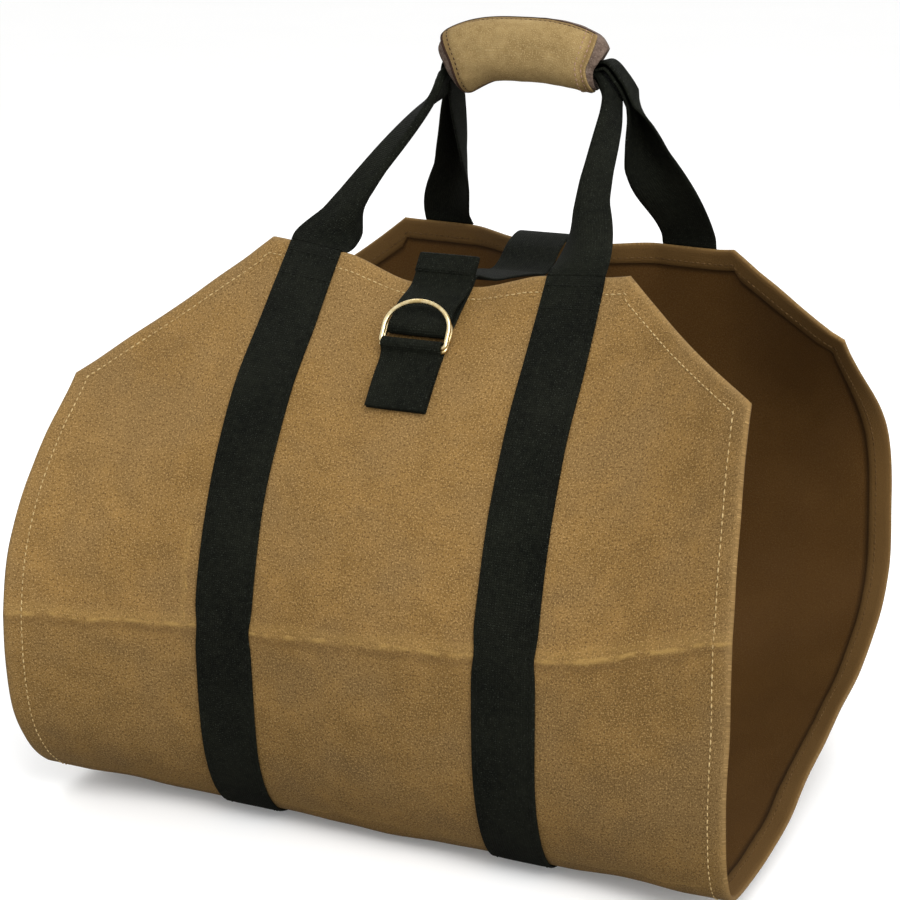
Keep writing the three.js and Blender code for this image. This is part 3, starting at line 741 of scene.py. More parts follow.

# %% [markdown]
# The inside is painted a much darker brown, which is painted shade for the little light that reaches
# into the bag, and no wear reaches it either. The band of the hem is paler there, because it is the
# worn outside turned in, and a painted shadow line marks its step.
# The attribute "inner" is 1 on the back of the sheet, so one material serves both faces.

# %% Inside, roughness and weave of the canvas
INSIDE_SHADE_BROWN = (0.06, 0.025, 0.004, 1)
HEM_BROWN = (0.16, 0.092, 0.03, 1)
STEP_SHADOW_BROWN = (0.02, 0.01, 0.003, 1)
# Painted shade: the inside is mixed most of the way to a dark brown.
lining = mix(tree, 0.88, rubbed, INSIDE_SHADE_BROWN)
lining = mix(tree, times(tree, number(tree, "hem_band"), 0.45), lining, HEM_BROWN)
# Painted shadow: a dark line where the hem band steps down.
lining = mix(tree, times(tree, number(tree, "hem_step"), 0.7), lining, STEP_SHADOW_BROWN)
colour = mix(tree, number(tree, "inner"), rubbed, lining)
roughness = spread(tree, clouds["Share"], 0, 1, 0.62, 0.8)
threads = woven(tree, place, warp=0.0011, weft=0.0011, unevenness=0.5)
height = calculate(tree, "MULTIPLY_ADD", threads, 0.5, pale_grain["Mask"])
height = calculate(tree, "MULTIPLY_ADD", pale_line, 1.6, height)
dress_shader(
    tree, shader, colour, roughness, specular=0.12, height=height, depth=0.16, strength=0.85
)
print("waxed canvas:", len(tree.nodes), "nodes")

# %% [markdown]
# The webbing is a near-black ribbed tape with a grey-green cast. Fine ribs run across it, the
# yarns between them run along it, and dust leaves a few pale specks.

# %% Webbing
black_webbing, tree, shader, place = new_material("black_webbing", "UV")
tone = mottled(
    tree, place, cloud=0.05, patch=0.004,
    dark=(0.0025, 0.003, 0.0018), light=(0.0085, 0.0095, 0.006),
)
dust = flecked(
    tree, place, size=0.0009, amount=0.36, colour=tone["Colour"], fleck_colour=(0.03, 0.034, 0.026)
)
ribs = woven(tree, place, warp=0.0016, weft=0.0013, unevenness=0.2)
dress_shader(
    tree, shader, colour=dust["Colour"], roughness=0.82,
    specular=0.07, height=ribs, depth=0.35, strength=1.0,
)
print("webbing:", len(tree.nodes), "nodes")

# %% [markdown]
# The grip has two cloths. Its front is a lighter canvas with a dry, heathery look, and its ends
# and back are a coarse wool felt. Felt has no weave, so its relief is only noise.

# %% Grip cloths
grip_canvas, tree, shader, place = new_material("grip_canvas", "UV")
tone = mottled(
    tree, place, cloud=0.03, patch=0.004, dark=(0.22, 0.143, 0.054), light=(0.33, 0.232, 0.098)
)
heather = flecked(
    tree, place, size=0.0008, amount=0.64, colour=tone["Colour"], fleck_colour=(0.36, 0.258, 0.12)
)
# Painted shade along the seam, where the panel's edge is drawn down.
painted_shade_colour = mix(tree, number(tree, "seam"), heather["Colour"], (0.13, 0.078, 0.03, 1))
threads = woven(tree, place, warp=0.0009, weft=0.0009, unevenness=0.5)
height = calculate(tree, "ADD", threads, heather["Mask"])
dress_shader(
    tree, shader, colour=painted_shade_colour, roughness=0.88,
    specular=0.1, height=height, depth=0.14, strength=0.8,
)

grip_felt, tree, shader, place = new_material("grip_felt", "Object")
tone = mottled(
    tree, place, cloud=0.006, patch=0.0016, dark=(0.075, 0.05, 0.038), light=(0.185, 0.135, 0.105)
)
fibres = flecked(
    tree, place, size=0.0012, amount=0.45, colour=tone["Colour"], fleck_colour=(0.24, 0.185, 0.145)
)
height = calculate(tree, "ADD", tone["Share"], fibres["Mask"])
dress_shader(
    tree, shader, colour=fibres["Colour"], roughness=0.95,
    specular=0.1, height=height, depth=0.5, strength=0.9,
)
print("grip materials ready")

# %% [markdown]
# The rings are pale brass wire, polished but handled. The thread is thick cotton: cream outside the
# canvas and, inside it, a darker copy that paints the shade inside the bag, dark on the webbing, and
# brown or pinkish on the grip.

# %% Brass and threads
brass, tree, shader, place = new_material("brass", "Object")
worn = mottled(
    tree, place, cloud=0.012, patch=0.003, dark=(0.62, 0.46, 0.2), light=(0.93, 0.8, 0.5)
)
shader.inputs["Metallic"].default_value = 1.0
roughness = spread(tree, worn["Share"], 0, 1, 0.34, 0.2)
dress_shader(
    tree, shader, colour=worn["Colour"], roughness=roughness,
    specular=0.5, height=worn["Share"], depth=0.03, strength=0.4,
)


def thread_material(name, dark, light):
    """Twisted cotton thread in two tones."""
    material, tree, shader, place = new_material(name, "Object")
    tone = mottled(tree, place, cloud=0.01, patch=0.0012, dark=dark, light=light)
    dress_shader(
        tree, shader, colour=tone["Colour"], roughness=0.8,
        specular=0.1, height=tone["Share"], depth=0.1, strength=0.6,
    )
    return material


cream_thread = thread_material("cream_thread", (0.36, 0.245, 0.105), (0.52, 0.38, 0.18))
# Painted shade: a darker copy of the cream thread, for the stitches inside the bag.
shaded_lining_thread = thread_material("shaded_lining_thread", (0.07, 0.036, 0.012), (0.14, 0.08, 0.03))
dark_thread = thread_material("dark_thread", (0.004, 0.0045, 0.003), (0.009, 0.01, 0.007))
brown_thread = thread_material("brown_thread", (0.02, 0.01, 0.007), (0.045, 0.024, 0.016))
rose_thread = thread_material("rose_thread", (0.26, 0.15, 0.11), (0.4, 0.26, 0.2))
print("materials:", len(bpy.data.materials))

# %% [markdown]
# Now the sheet itself. Its rows and columns lie 4 mm apart, with a close pair where the hem
# band steps down on the inside. The four corners are cut off: the rows of a column near the
# side start further along, so the same grid fits the cut without a seam.

# %% Canvas sheet
GRID_STEP = 4.2
HEM_PLACES = (0, 3, 7, 11, HEM_BAND)
CORNER_SPREAD = 0.33


def with_hem(length):
    """Places across one direction of the sheet, with a close pair at each hem band."""
    inner = np.linspace(HEM_BAND + HEM_STEP, length - HEM_BAND - HEM_STEP, int(length / GRID_STEP))
    hem = np.array(HEM_PLACES)
    return np.r_[hem, inner, length - hem[::-1]]


def cut_start(across):
    """How far down the sheet the cut corner starts, in millimetres."""
    corner = HEM_LENGTH / 2
    return CORNER_CUT * np.maximum(0, np.abs(across) - corner) / (half_width - corner)


def cloth_share(across, down):
    """Share of the length for a place down the sheet, counted from its cut edge."""
    start = cut_start(across)
    usable = SHEET_LENGTH - 2 * start
    place = down / SHEET_LENGTH * usable
    from_end = np.minimum(place, usable - place)
    slant = np.where(np.abs(across) > HEM_LENGTH / 2 + 1, CORNER_SPREAD, 0.0)
    wider = from_end * slant * np.exp(-((from_end / 40) ** 2))
    place = np.where(place < usable / 2, place + wider, place - wider)
    return (start + place) / SHEET_LENGTH


columns = with_hem(SHEET_WIDTH) - half_width
for corner in (-HEM_LENGTH / 2, HEM_LENGTH / 2):
    columns[np.abs(columns - corner).argmin()] = corner
rows = with_hem(SHEET_LENGTH)
across, down = np.meshgrid(columns, rows)
along = cloth_share(across, down)
face = cloth_point(across, along)
to_edge = np.minimum.reduce([down, SHEET_LENGTH - down, half_width - np.abs(across)])
wall = np.where(to_edge <= HEM_BAND + 0.1, 2 * CANVAS_WALL, CANVAS_WALL)
back = face - sheet_out(across, along) * wall[..., None]
flat = np.stack([across, along * SHEET_LENGTH], -1)
canvas = grid_body("canvas_sheet", face, back, flat, waxed_canvas, bulge=0.4)
print("canvas sheet:", len(canvas.data.polygons), "faces")

# %% [markdown]
# Four numbers on each vertex tell the material where the folded edge is rubbed pale, where the hem is
# turned in on the inside, where that band ends in a painted shadow line, and how much painted shade
# darkens the cloth.

# %% Wear and painted shade of the canvas
def both_faces(values):
    """The same number on the face, the back and the edge of a grid body."""
    edge = border(*values.shape)[0]
    return np.r_[values.ravel(), values.ravel(), values.ravel()[edge]]


length = along * SHEET_LENGTH
# Painted shadow line just past the hem band.
step_line = np.exp(-(((to_edge - HEM_BAND - HEM_STEP) / 1.2) ** 2))
set_number(canvas, "fold_edge", both_faces(np.exp(-to_edge / 2.5)))
set_number(canvas, "hem_band", both_faces(np.where(to_edge <= HEM_BAND + 0.1, 1.0, 0.0)))
set_number(canvas, "hem_step", both_faces(step_line))
# Painted shade: darker below the crease, lower down the front, and over the back below its top.
below_crease = smooth_step((from_crease(across, length) + 6) / 30)
low_down = smooth_step((length - 250) / 130)
behind = smooth_step((SHEET_LENGTH - 200 - length) / 130)
painted_shade = np.where(length < 500, below_crease * 0.55 + low_down * 0.45, behind)
set_number(canvas, "painted_shade", both_faces(painted_shade))

# %% [markdown]
# The two straps are sewn on the outside of the sheet from hem to hem. Each is a ribbon in the
# cloth's own coordinates, a clearance above it. A shallow groove near each edge is where the
# stitches draw the tape down.

# %% Sewn straps
SEAM_INSET = 3.2
SEAM_GROOVE = 0.3
TAPE_ROUNDING = 0.35
STRAP_PINCH = 0.07
STRAP_WANDER = 0.8
STRAP_ROWS = 300
tape_columns = np.array([0, 0.8, 2.2, SEAM_INSET, 4.2, 7.5, 13, 19, 25, 30.5, 33.8,
                         WEBBING_WIDTH - SEAM_INSET, 35.8, 37.2, WEBBING_WIDTH])


def tape_height(columns, groove=SEAM_GROOVE):
    """Height of a tape's face over its width, rounded at the edges, lower along the seams."""
    from_edge = np.minimum(columns, WEBBING_WIDTH - columns)
    rounding = TAPE_ROUNDING * np.exp(-from_edge / 0.6)
    seam = groove * np.exp(-(((from_edge - SEAM_INSET) / 1.1) ** 2))
    return WEBBING_THICKNESS - rounding - seam


def sewn_strap(name, side):
    rows = np.linspace(0, 1, STRAP_ROWS)
    offset, along = np.meshgrid(tape_columns - WEBBING_WIDTH / 2, rows)
    length = along * SHEET_LENGTH
    pinch = STRAP_PINCH * np.exp(-((from_crease(side * strap_half, length) / 9) ** 2))
    wander = STRAP_WANDER * ripples(offset, length, 55, side * 4.0)
    across = side * strap_half + offset * (1 - pinch) + wander
    out = sheet_out(side * strap_half, along)
    base = cloth_point(across, along)
    face = base + out * (CLEARANCE + tape_height(tape_columns))[None, :, None]
    back = base + out * CLEARANCE
    flat = np.stack([across, along * SHEET_LENGTH], -1)
    return grid_body(name, face, back, flat, black_webbing)


strap_left = sewn_strap("strap_tape_left", -1)
strap_right = sewn_strap("strap_tape_right", 1)
print("straps:", len(strap_left.data.polygons), "faces each")

# %% [markdown]
# A handle is the free loop of that webbing. Its path is a smooth curve through a few places:
# straight up from the hem, a bend at the mouth of the grip, and along the grip to the other
# side. On the way up the tape cups and folds lengthwise, because the grip is narrower than it,
# and it turns by a quarter so that it bends on its flat side.

# %% Curve through places
def through(places, stops):
    """Centripetal Catmull-Rom curve through places, at stops counted in places."""
    places = np.asarray(places, float)
    first, last = 2 * places[0] - places[1], 2 * places[-1] - places[-2]
    places = np.vstack([first, places, last])
    result = []
    for stop in stops:
        i = min(int(stop), len(places) - 4)
        a, b, c, d = places[i : i + 4]
        before, span, after = (np.linalg.norm(q - p) ** 0.5 for p, q in ((a, b), (b, c), (c, d)))
        leave = span * ((b - a) / before - (c - a) / (before + span) + (c - b) / span)
        reach = span * ((c - b) / span - (d - b) / (span + after) + (d - c) / after)
        t = stop - i
        square, cube = 3 * (c - b) - 2 * leave - reach, 2 * (b - c) + leave + reach
        result.append(b + leave * t + square * t**2 + cube * t**3)
    return np.array(result)


def directions(points):
    """Unit tangent at each point of a path."""
    return unit(np.gradient(points, axis=0))


def distances(points):
    """Distance along a path at each of its points."""
    return np.r_[0, np.cumsum(np.linalg.norm(np.diff(points, axis=0), axis=1))]


def between(stops, marks, values):
    """Values at stops along a path, from rows of three that each have a mark."""
    return np.stack([np.interp(stops, marks, values[:, k]) for k in range(3)], -1)


print("half way between two places:", through([(0, 0, 0), (1, 0, 0), (2, 1, 0)], [0.5])[0])

# %% [markdown]
# Both loops and the sleeve share one middle line: along X, with both ends drooping, as a padded
# grip does when the tapes pull at them. It is written as a function of a share from -1 to 1, so
# that every piece of the grip can ask for the same place.

# %% Places along the grip
GRIP_LENGTH = 92
GRIP_DEPTH = 40
GRIP_DROOP = 10
GRIP_SKEW = 0.25
LEFT_BULB = 4.5
LEFT_LEAN = 6
RIGHT_LEAN = 12


def grip_axis(share):
    """Middle line of the grip, from -1 at its left end to 1 at its right, ends drooping."""
    share = np.asarray(share, float)
    x = GRIP_SHIFT + share * GRIP_LENGTH / 2
    z = GRIP_HEIGHT - GRIP_DROOP * np.abs(share) ** 3
    return np.stack([x, 0 * share, z], -1)


def grip_up(share):
    """Direction square to the middle line, in the upright plane."""
    share = np.asarray(share, float)
    slope = -6 * GRIP_DROOP * np.sign(share) * share**2 / GRIP_LENGTH
    return unit(np.stack([-slope, 0 * share, 1 + 0 * share], -1))


grip_shares = np.linspace(-1, 1, 11)
print("ends of the grip:", grip_axis([-1, 1]).round(1).tolist())

# %% [markdown]
# Each loop is a tape laid along its path. Real webbing folds where it is pulled into the grip,
# and no two legs of this one do it alike: one folds early, another only near the top. So each
# leg has its own places, and its own pace of folding and turning. A twist given only at both
# ends would be shorter to write, but then all four legs would look the same.

# %% Handle loops
# How each loop bends out of the grip's mouth: beyond it, forward and up, lowest place first.
# The keys are front or not, and the side, -1 for the left.
BENDS = {
    (True, -1): [(9, 9, -16), (7, 3, -9), (4, 0, -4)],
    (True, 1): [(16, 9, -19), (11.5, 3, -11), (5.5, 0, -4)],
    (False, -1): [(8, 9, -17), (7, 3, -7), (4, 0, 0)],
    (False, 1): [(23, 9, -18), (18, 3, -6), (10, 0, 3)],
}
# Share of each leg by which it is folded in two, how late it folds, and how late it turns.
FOLDING = {
    (True, -1): (0.5, 0.7, 3.0),
    (True, 1): (0.8, 0.95, 1.0),
    (False, -1): (1.0, 0.8, 1.0),
    (False, 1): (1.0, 1.6, 4.0),
}
LEG_RISE = 8
CUP_WIDTH = 26
FOLD_WIDTH = 3.3
TAPE_POINTS = 15


def leg_places(front, side):
    """Places of one leg from the hem up to the mouth of the grip, and the line of its hem."""
    hem = 0.0 if front else 1.0
    inwards = 0.004 if front else 0.996
    at_hem = sheet_point(side * strap_half, hem)
    up = unit(at_hem - sheet_point(side * strap_half, inwards))
    start = at_hem + sheet_out(side * strap_half, hem) * sewn_layer + up * 2 * CLEARANCE
    rise = start + up * LEG_RISE
    forward = -1 if front else 1
    bends = [
        grip_axis(side) + (side * beyond, forward * ahead, height)
        for beyond, ahead, height in BENDS[front, side]
    ]
    edges = sheet_point(side * strap_half + np.array([-0.5, 0.5]) * WEBBING_WIDTH, hem)
    return [start, rise, (rise + bends[0]) / 2, *bends], unit(edges[1] - edges[0])


print("places of the left front leg:", len(leg_places(True, -1)[0]))

# %% [markdown]
# The tape's own section changes along that path: flat at the hem, cupped further up, and folded
# in two at the grip. Its width turns with it, from along the hem to the way through the grip,
# so the loop is built from one section after another rather than extruded.

# %% Tape laid along a loop


def cupped(fold):
    """Middle line and normals across a tape that is cupped, and at 1 folded in two."""
    width = np.linspace(0, WEBBING_WIDTH, TAPE_POINTS)
    zone = CUP_WIDTH * (1 - fold) + FOLD_WIDTH * fold
    angle = math.pi * fold * smooth_step((width - WEBBING_WIDTH / 2) / zone + 0.5)
    steps = np.diff(width)
    middle = (angle[1:] + angle[:-1]) / 2
    x = np.r_[0, np.cumsum(np.cos(middle) * steps)]
    y = np.r_[0, np.cumsum(-np.sin(middle) * steps)]
    x = x - (x.max() + x.min()) / 2
    return np.c_[x, y + fold * layer_step / 2], np.c_[np.sin(angle), np.cos(angle)]


def handle_loop(name, front):
    """One loop of webbing, up a leg, through the grip and down the other leg."""
    layer = -layer_step if front else layer_step
    left, left_hem = leg_places(front, -1)
    right, right_hem = leg_places(front, 1)
    inside = [grip_axis(s) + grip_up(s) * layer for s in grip_shares]
    places = [*left, *inside, *right[::-1]]
    last = len(places) - 1
    runs = [(0, 3, 54), (3, 6, 22), (6, last - 6, 24), (last - 6, last - 3, 22), (last - 3, last, 54)]
    stops = np.unique(np.concatenate([np.linspace(*run) for run in runs]))
    points = through(places, stops)
    run = directions(points)
    length = distances(points)
    from_right = length[-1] - length
    legs = np.interp(3, stops, length), np.interp(last - 3, stops, from_right)
    face, back = [], []
    for k, (point, ahead) in enumerate(zip(points, run)):
        climb = min(1.0, length[k] / legs[0], from_right[k] / legs[1])
        hem, side = (left_hem, 1) if stops[k] < last / 2 else (right_hem, -1)
        folded_by, late_fold, late_turn = FOLDING[front, -side]
        turned = math.pi / 2 * climb**late_turn
        fold = min(1.0, climb / folded_by) ** late_fold
        width = hem * side * math.cos(turned)
        width[1] += (-1 if front else 1) * math.sin(turned)
        width = unit(width - ahead * (width @ ahead) * climb**2)
        out = unit(np.cross(width, ahead)) * (1 if front else -1)
        middle, normal = cupped(fold)
        line = point + middle[:, :1] * width + middle[:, 1:] * out
        normal = normal[:, :1] * width + normal[:, 1:] * out
        face.append(line + normal * WEBBING_THICKNESS / 2)
        back.append(line - normal * WEBBING_THICKNESS / 2)
    across = np.linspace(0, WEBBING_WIDTH, len(face[0]))
    flat = np.stack(np.meshgrid(across, length), -1)
    return grid_body(name, np.array(face), np.array(back), flat, black_webbing)


handle_front = handle_loop("handle_tape_front", True)
handle_back = handle_loop("handle_tape_back", False)
print("handles:", len(handle_front.data.polygons), "faces each")

# %% [markdown]
# The grip is a sleeve of felt, wrapped round both loops, with a canvas panel over its front. It
# is a swept oval rather than a simulated cushion, because its few soft forms are known: it
# swells in the middle, droops at both ends, and closes in round the webbing.

# %% Felt sleeve
SLEEVE_SIDES = 72
SLEEVE_ROWS = 90
SLOT_CLEARANCE = 0.7
FELT_LUMPS = 0.5
END_BEGINS = 0.86
END_ROUNDING = 0.12
LIP_ROLL = 2.2
MOUTH_FLARE = 16
SLOT_EASE = 1.12


def grip_oval(share, angles, scale=1.0, extra=0.0):
    """Places round the grip at one share of its length, an oval with flattened sides."""
    def round_off(value):
        return np.sign(value) * np.abs(value) ** 0.8

    depth = (GRIP_DEPTH / 2 * scale + extra) * round_off(np.cos(angles))
    height = (GRIP_THICKNESS / 2 * scale + extra) * round_off(np.sin(angles))
    below = np.maximum(0, -np.sin(angles))
    bulb = LEFT_BULB * smooth_step((-share - 0.45) / 0.5) * below
    lean = RIGHT_LEAN * smooth_step((share - 0.4) / 0.6) - LEFT_LEAN * smooth_step((-share - 0.5) / 0.5)
    across = np.stack([lean * below - GRIP_SKEW * max(0, share) * depth, depth, 0 * depth], -1)
    return grip_axis(share) + across + (height - bulb)[:, None] * grip_up(share)


def grip_slot(share, angles):
    """Places round the slot that holds the folded tapes, wider at its mouths."""
    mouth = max(0.0, abs(share) - 0.5) ** 2 * MOUTH_FLARE
    depth = (WEBBING_WIDTH / 4 + layer_step / 2 + SLOT_CLEARANCE + mouth) * np.cos(angles)
    height = (2 * layer_step + SLOT_CLEARANCE + mouth) * np.sin(angles)
    across = np.stack([-GRIP_SKEW * max(0, share) * depth, depth, 0 * depth], -1)
    return grip_axis(share) + across * SLOT_EASE + height[:, None] * SLOT_EASE * grip_up(share)


def end_scale(share):
    """Share of its full section that the sleeve keeps near its rounded ends."""
    past = max(0.0, abs(share) - END_BEGINS) / (1 - END_BEGINS)
    return 1 - END_ROUNDING * past**2.2


angles = np.linspace(0, math.tau, SLEEVE_SIDES, endpoint=False)
shares = np.sin(np.linspace(-math.pi / 2, math.pi / 2, SLEEVE_ROWS))
outside = [grip_oval(s, angles, end_scale(s)) for s in shares]
lips = [0.35, 0.75, 0.95]


def bumps(points, size):
    """Smooth noise at each point of an array, its bumps a given size in millimetres."""
    values = [noise.noise(Vector(p) / size) for p in points.reshape(-1, 3)]
    return np.array(values).reshape(*points.shape[:-1], 1)


def lip(share, t):
    """Ring of places part of the way from the rim of the sleeve to its slot."""
    rim, slot = grip_oval(share, angles, end_scale(share)), grip_slot(share, angles)
    rolled = np.array([np.sign(share) * LIP_ROLL * math.sin(math.pi * t), 0, 0])
    return rim * (1 - t) + slot * t + rolled


slot_shares = np.linspace(1, -1, 24)
rings = [*outside, *[lip(1, t) for t in lips], *[grip_slot(s, angles) for s in slot_shares]]
rings += [lip(-1, t) for t in lips[::-1]]
rings = np.array(rings)
centre = rings.mean(axis=1, keepdims=True)
rings = rings + unit(rings - centre) * FELT_LUMPS * bumps(rings, 9)
print("rings of places:", len(rings), "of", SLEEVE_SIDES)

# %% [markdown]
# The rings of places run along the outside, over one lip, back through the slot and over the
# other lip, so joining the last to the first closes the sleeve with its hole in it. A cut-out
# made by a Boolean would leave a sharp edge there, and felt has none.

# %% Sleeve from its rings
def joined_rings(name, rings, material):
    """Closed body from rings of places, the last joined to the first."""
    count, sides = rings.shape[:2]
    r, s = np.mgrid[0:count, 0:sides]
    ahead, beside = (r + 1) % count, (s + 1) % sides
    faces = np.stack([r * sides + s, r * sides + beside, ahead * sides + beside, ahead * sides + s], -1)
    return outward(new_object(name, rings.reshape(-1, 3), faces.reshape(-1, 4).tolist(), material))


sleeve = joined_rings("grip_sleeve", rings, grip_felt)
print("felt sleeve:", len(sleeve.data.polygons), "faces")

# %% [markdown]
# The panel starts behind the top of the grip, runs over its front and ends under it. Its edges
# are turned in and drawn down by the seam, and the padding lifts its middle.

# %% Canvas panel of the grip
PANEL_LEFT = -0.93
PANEL_RIGHT = 0.97
PANEL_SHEAR = 0.09
PANEL_TOP = math.radians(110)
PANEL_BOTTOM = math.radians(264)
PANEL_SEAM = 2.2
PANEL_CLOTH = 1.3
PANEL_WRINKLES = 0.12
PANEL_PADDING = 1.5
PANEL_SEAM_DEPTH = 0.75
panel_width = (PANEL_RIGHT - PANEL_LEFT) * GRIP_LENGTH / 2
panel_round = (PANEL_BOTTOM - PANEL_TOP) * GRIP_DEPTH / 2


def panel_place(along_grip, round_grip, lift):
    """Place on the panel for shares from 0 to 1 along the grip and round it."""
    angle = PANEL_TOP + (PANEL_BOTTOM - PANEL_TOP) * round_grip
    over_front = np.sin(angle - math.pi / 2) ** 2
    share = PANEL_LEFT + (PANEL_RIGHT - PANEL_LEFT) * along_grip
    share = share + 0.03 * (1 - along_grip) * over_front
    share = share - PANEL_SHEAR * along_grip**3 * (1 - round_grip) ** 1.5
    return grip_oval(share, np.array([angle]), end_scale(share), lift)[0]


def panel_grid(lift):
    """Grid of places over the panel. lift gives the height for a distance from its edge."""
    steps = np.r_[0, 0.012, 0.03, np.linspace(0.05, 0.95, 44), 0.97, 0.988, 1]
    u, v = np.meshgrid(steps, steps)
    from_edge = np.minimum(np.minimum(u, 1 - u) * panel_width, np.minimum(v, 1 - v) * panel_round)
    places = [panel_place(a, b, lift(c)) for a, b, c in zip(u.flat, v.flat, from_edge.flat)]
    flat = np.stack([u * panel_width, v * panel_round], -1)
    return np.array(places).reshape(*u.shape, 3), flat, from_edge


def padding(from_edge):
    """Height of the panel's face over the sleeve."""
    seam = PANEL_SEAM_DEPTH * math.exp(-(((from_edge - PANEL_SEAM) / 1.2) ** 2))
    return CLEARANCE + PANEL_CLOTH - seam + PANEL_PADDING * (1 - math.exp(-from_edge / 7))


face, flat, from_edge = panel_grid(padding)
back = panel_grid(lambda from_edge: 0.1)[0]
face = face + (face - back) * PANEL_WRINKLES * bumps(face, 7)
panel = grid_body("grip_panel", face, back, flat, grip_canvas, bulge=0.4)
seam_shade = 0.75 * np.exp(-(((from_edge - PANEL_SEAM + 0.6) / 1.3) ** 2))
set_number(panel, "seam", both_faces(seam_shade))
print("grip panel:", len(panel.data.polygons), "faces")

# %% [markdown]
# The closure is webbing too, but all of it lies in one upright plane, so each run needs only a
# path in that plane and the tape's width along X. The tab is sewn to the front panel and
# wraps both ring bars. The strap comes over the mouth, lies under the rings, folds back, and
# goes over the lower ring and under the arc of the upper one.

# %% Closure webbing
RING_BAR_FROM_HEM = 52
RING_WIRE = 2.8
TAB_LENGTH = 38
CLOSURE_SEWN_LENGTH = 62
TAIL_HEM = 12
ring_radius = RING_WIRE / 2
bar_along = RING_BAR_FROM_HEM / SHEET_LENGTH
bar_out = sheet_out(0.0, bar_along)
bar_up = unit(sheet_point(0, bar_along - 0.004) - sheet_point(0, bar_along + 0.004))
wrap = ring_radius + CLEARANCE + WEBBING_THICKNESS / 2
lower_bar = (0.0, CLEARANCE * 2 + WEBBING_THICKNESS + ring_radius)
upper_bar = (1.0, lower_bar[1] + RING_WIRE + 0.2)


def on_panel(along, out):
    return sheet_point(0, along) + sheet_out(0.0, along) * out


def near_bar(up, out):
    return sheet_point(0, bar_along) + bar_up * up + bar_out * out


def flat_run(name, places, count, thickness=None):
    """Webbing along a path in the upright plane. thickness may vary along it."""
    points = through(places, np.linspace(0, len(places) - 1, count))
    length = distances(points)
    even = np.linspace(0, length[-1], count)
    points = between(even, length, points)
    out = np.cross([1.0, 0, 0], directions(points))
    sideways = (tape_columns - WEBBING_WIDTH / 2)[None, :, None] * np.array([1.0, 0, 0])
    extra = np.zeros(count) if thickness is None else thickness(even, length[-1])
    height = tape_height(tape_columns, 0.15)[None, :] - WEBBING_THICKNESS / 2 + extra[:, None]
    face = points[:, None] + sideways + out[:, None] * height[..., None]
    back = points[:, None] + sideways - out[:, None] * WEBBING_THICKNESS / 2
    flat = np.stack(np.meshgrid(tape_columns, even), -1)
    return grid_body(name, face, back, flat, black_webbing), points, out


tab_end = (RING_BAR_FROM_HEM + TAB_LENGTH) / SHEET_LENGTH
tab_middle = (RING_BAR_FROM_HEM + TAB_LENGTH / 2) / SHEET_LENGTH
tab_top = (RING_BAR_FROM_HEM + 8) / SHEET_LENGTH
second_layer = sewn_layer + layer_step
tab_places = [
    on_panel(tab_end, sewn_layer),
    on_panel(tab_middle, sewn_layer),
    on_panel(tab_top, sewn_layer),
    near_bar(lower_bar[0], lower_bar[1] - wrap),
    near_bar(lower_bar[0] + wrap * 0.8, lower_bar[1] - wrap * 0.75),
    near_bar(upper_bar[0] + wrap, (lower_bar[1] + upper_bar[1]) / 2),
    near_bar(upper_bar[0] + wrap * 0.8, upper_bar[1] + wrap * 0.75),
    near_bar(upper_bar[0], upper_bar[1] + wrap),
    near_bar(upper_bar[0] - wrap * 0.85, upper_bar[1] + wrap * 0.6),
    near_bar(lower_bar[0] - wrap - 0.4, lower_bar[1] + 1.2),
    near_bar(lower_bar[0] - wrap - 4.5, lower_bar[1] - 0.6),
    on_panel(tab_middle, second_layer),
    on_panel(tab_end, second_layer),
]
tab, tab_path, tab_out = flat_run("ring_tab_tape", tab_places, 150)
print("tab:", len(tab.data.polygons), "faces")

# %% [markdown]
# The strap's path is written as four runs: over the mouth, where it sags into the bag between
# the hems, down the front under both rings, round the fold, and up again as the free tail. The
# places of the rings come from the bars, so that the strap passes each wire with a clearance.

# %% Closure strap
sewn_end = 1 - CLOSURE_SEWN_LENGTH / SHEET_LENGTH
back_hem = on_panel(1.0, sewn_layer)
front_hem = on_panel(0.0, sewn_layer)


def over_mouth(share, rise):
    return back_hem + (front_hem - back_hem) * share + np.array([0, 0, rise])


fold_up = upper_bar[0] + wrap + 6
high_layer = lower_bar[1] + ring_radius + CLEARANCE + WEBBING_THICKNESS / 2
low_at_fold = lower_bar[1] - wrap
hem_from_bar = front_hem - near_bar(0, 0)
hem_up, hem_out = hem_from_bar @ bar_up, hem_from_bar @ bar_out
ring_top = 27
# Over the mouth: share of the way from the back hem to the front one, and the rise above it.
MOUTH_RUN = [(0.015, 4.5), (0.09, 7.2), (0.19, 2.2), (0.27, -7), (0.34, -11), (0.45, -8.5),
             (0.65, -4.5), (0.8, -2), (0.91, 2.5), (0.97, 4.5)]
# Round the fold: up from where it turns, and out from the strap's lower layer.
FOLD_RUN = [(5, 0), (1.2, 1.3), (0, 4.2), (1.8, 6.4), (5.5, 6.8)]
# The tail beyond the front hem: up from it, and out from the layer that it covers.
TAIL_RUN = [(-6, 1.6), (4, 1.4), (16, 2.6)]
closure_places = [on_panel(sewn_end, sewn_layer), on_panel((1 + sewn_end) / 2, sewn_layer), back_hem]
closure_places += [over_mouth(share, rise) for share, rise in MOUTH_RUN]
closure_places += [front_hem, *[on_panel(bar_along * share, sewn_layer) for share in (0.3, 0.5)]]
closure_places += [near_bar(fold_up + up, low_at_fold + out) for up, out in FOLD_RUN]
closure_places += [near_bar(ring_top * 0.8, high_layer + 0.3), near_bar(ring_top + 2, high_layer - 0.3)]
closure_places += [near_bar(hem_up + up, hem_out + layer_step + out) for up, out in TAIL_RUN]


def tail_hem(places, total):
    """The end of the tail is turned over and sewn, so it is two layers thick."""
    return 1.9 * smooth_step((places - (total - TAIL_HEM)) / 0.8)


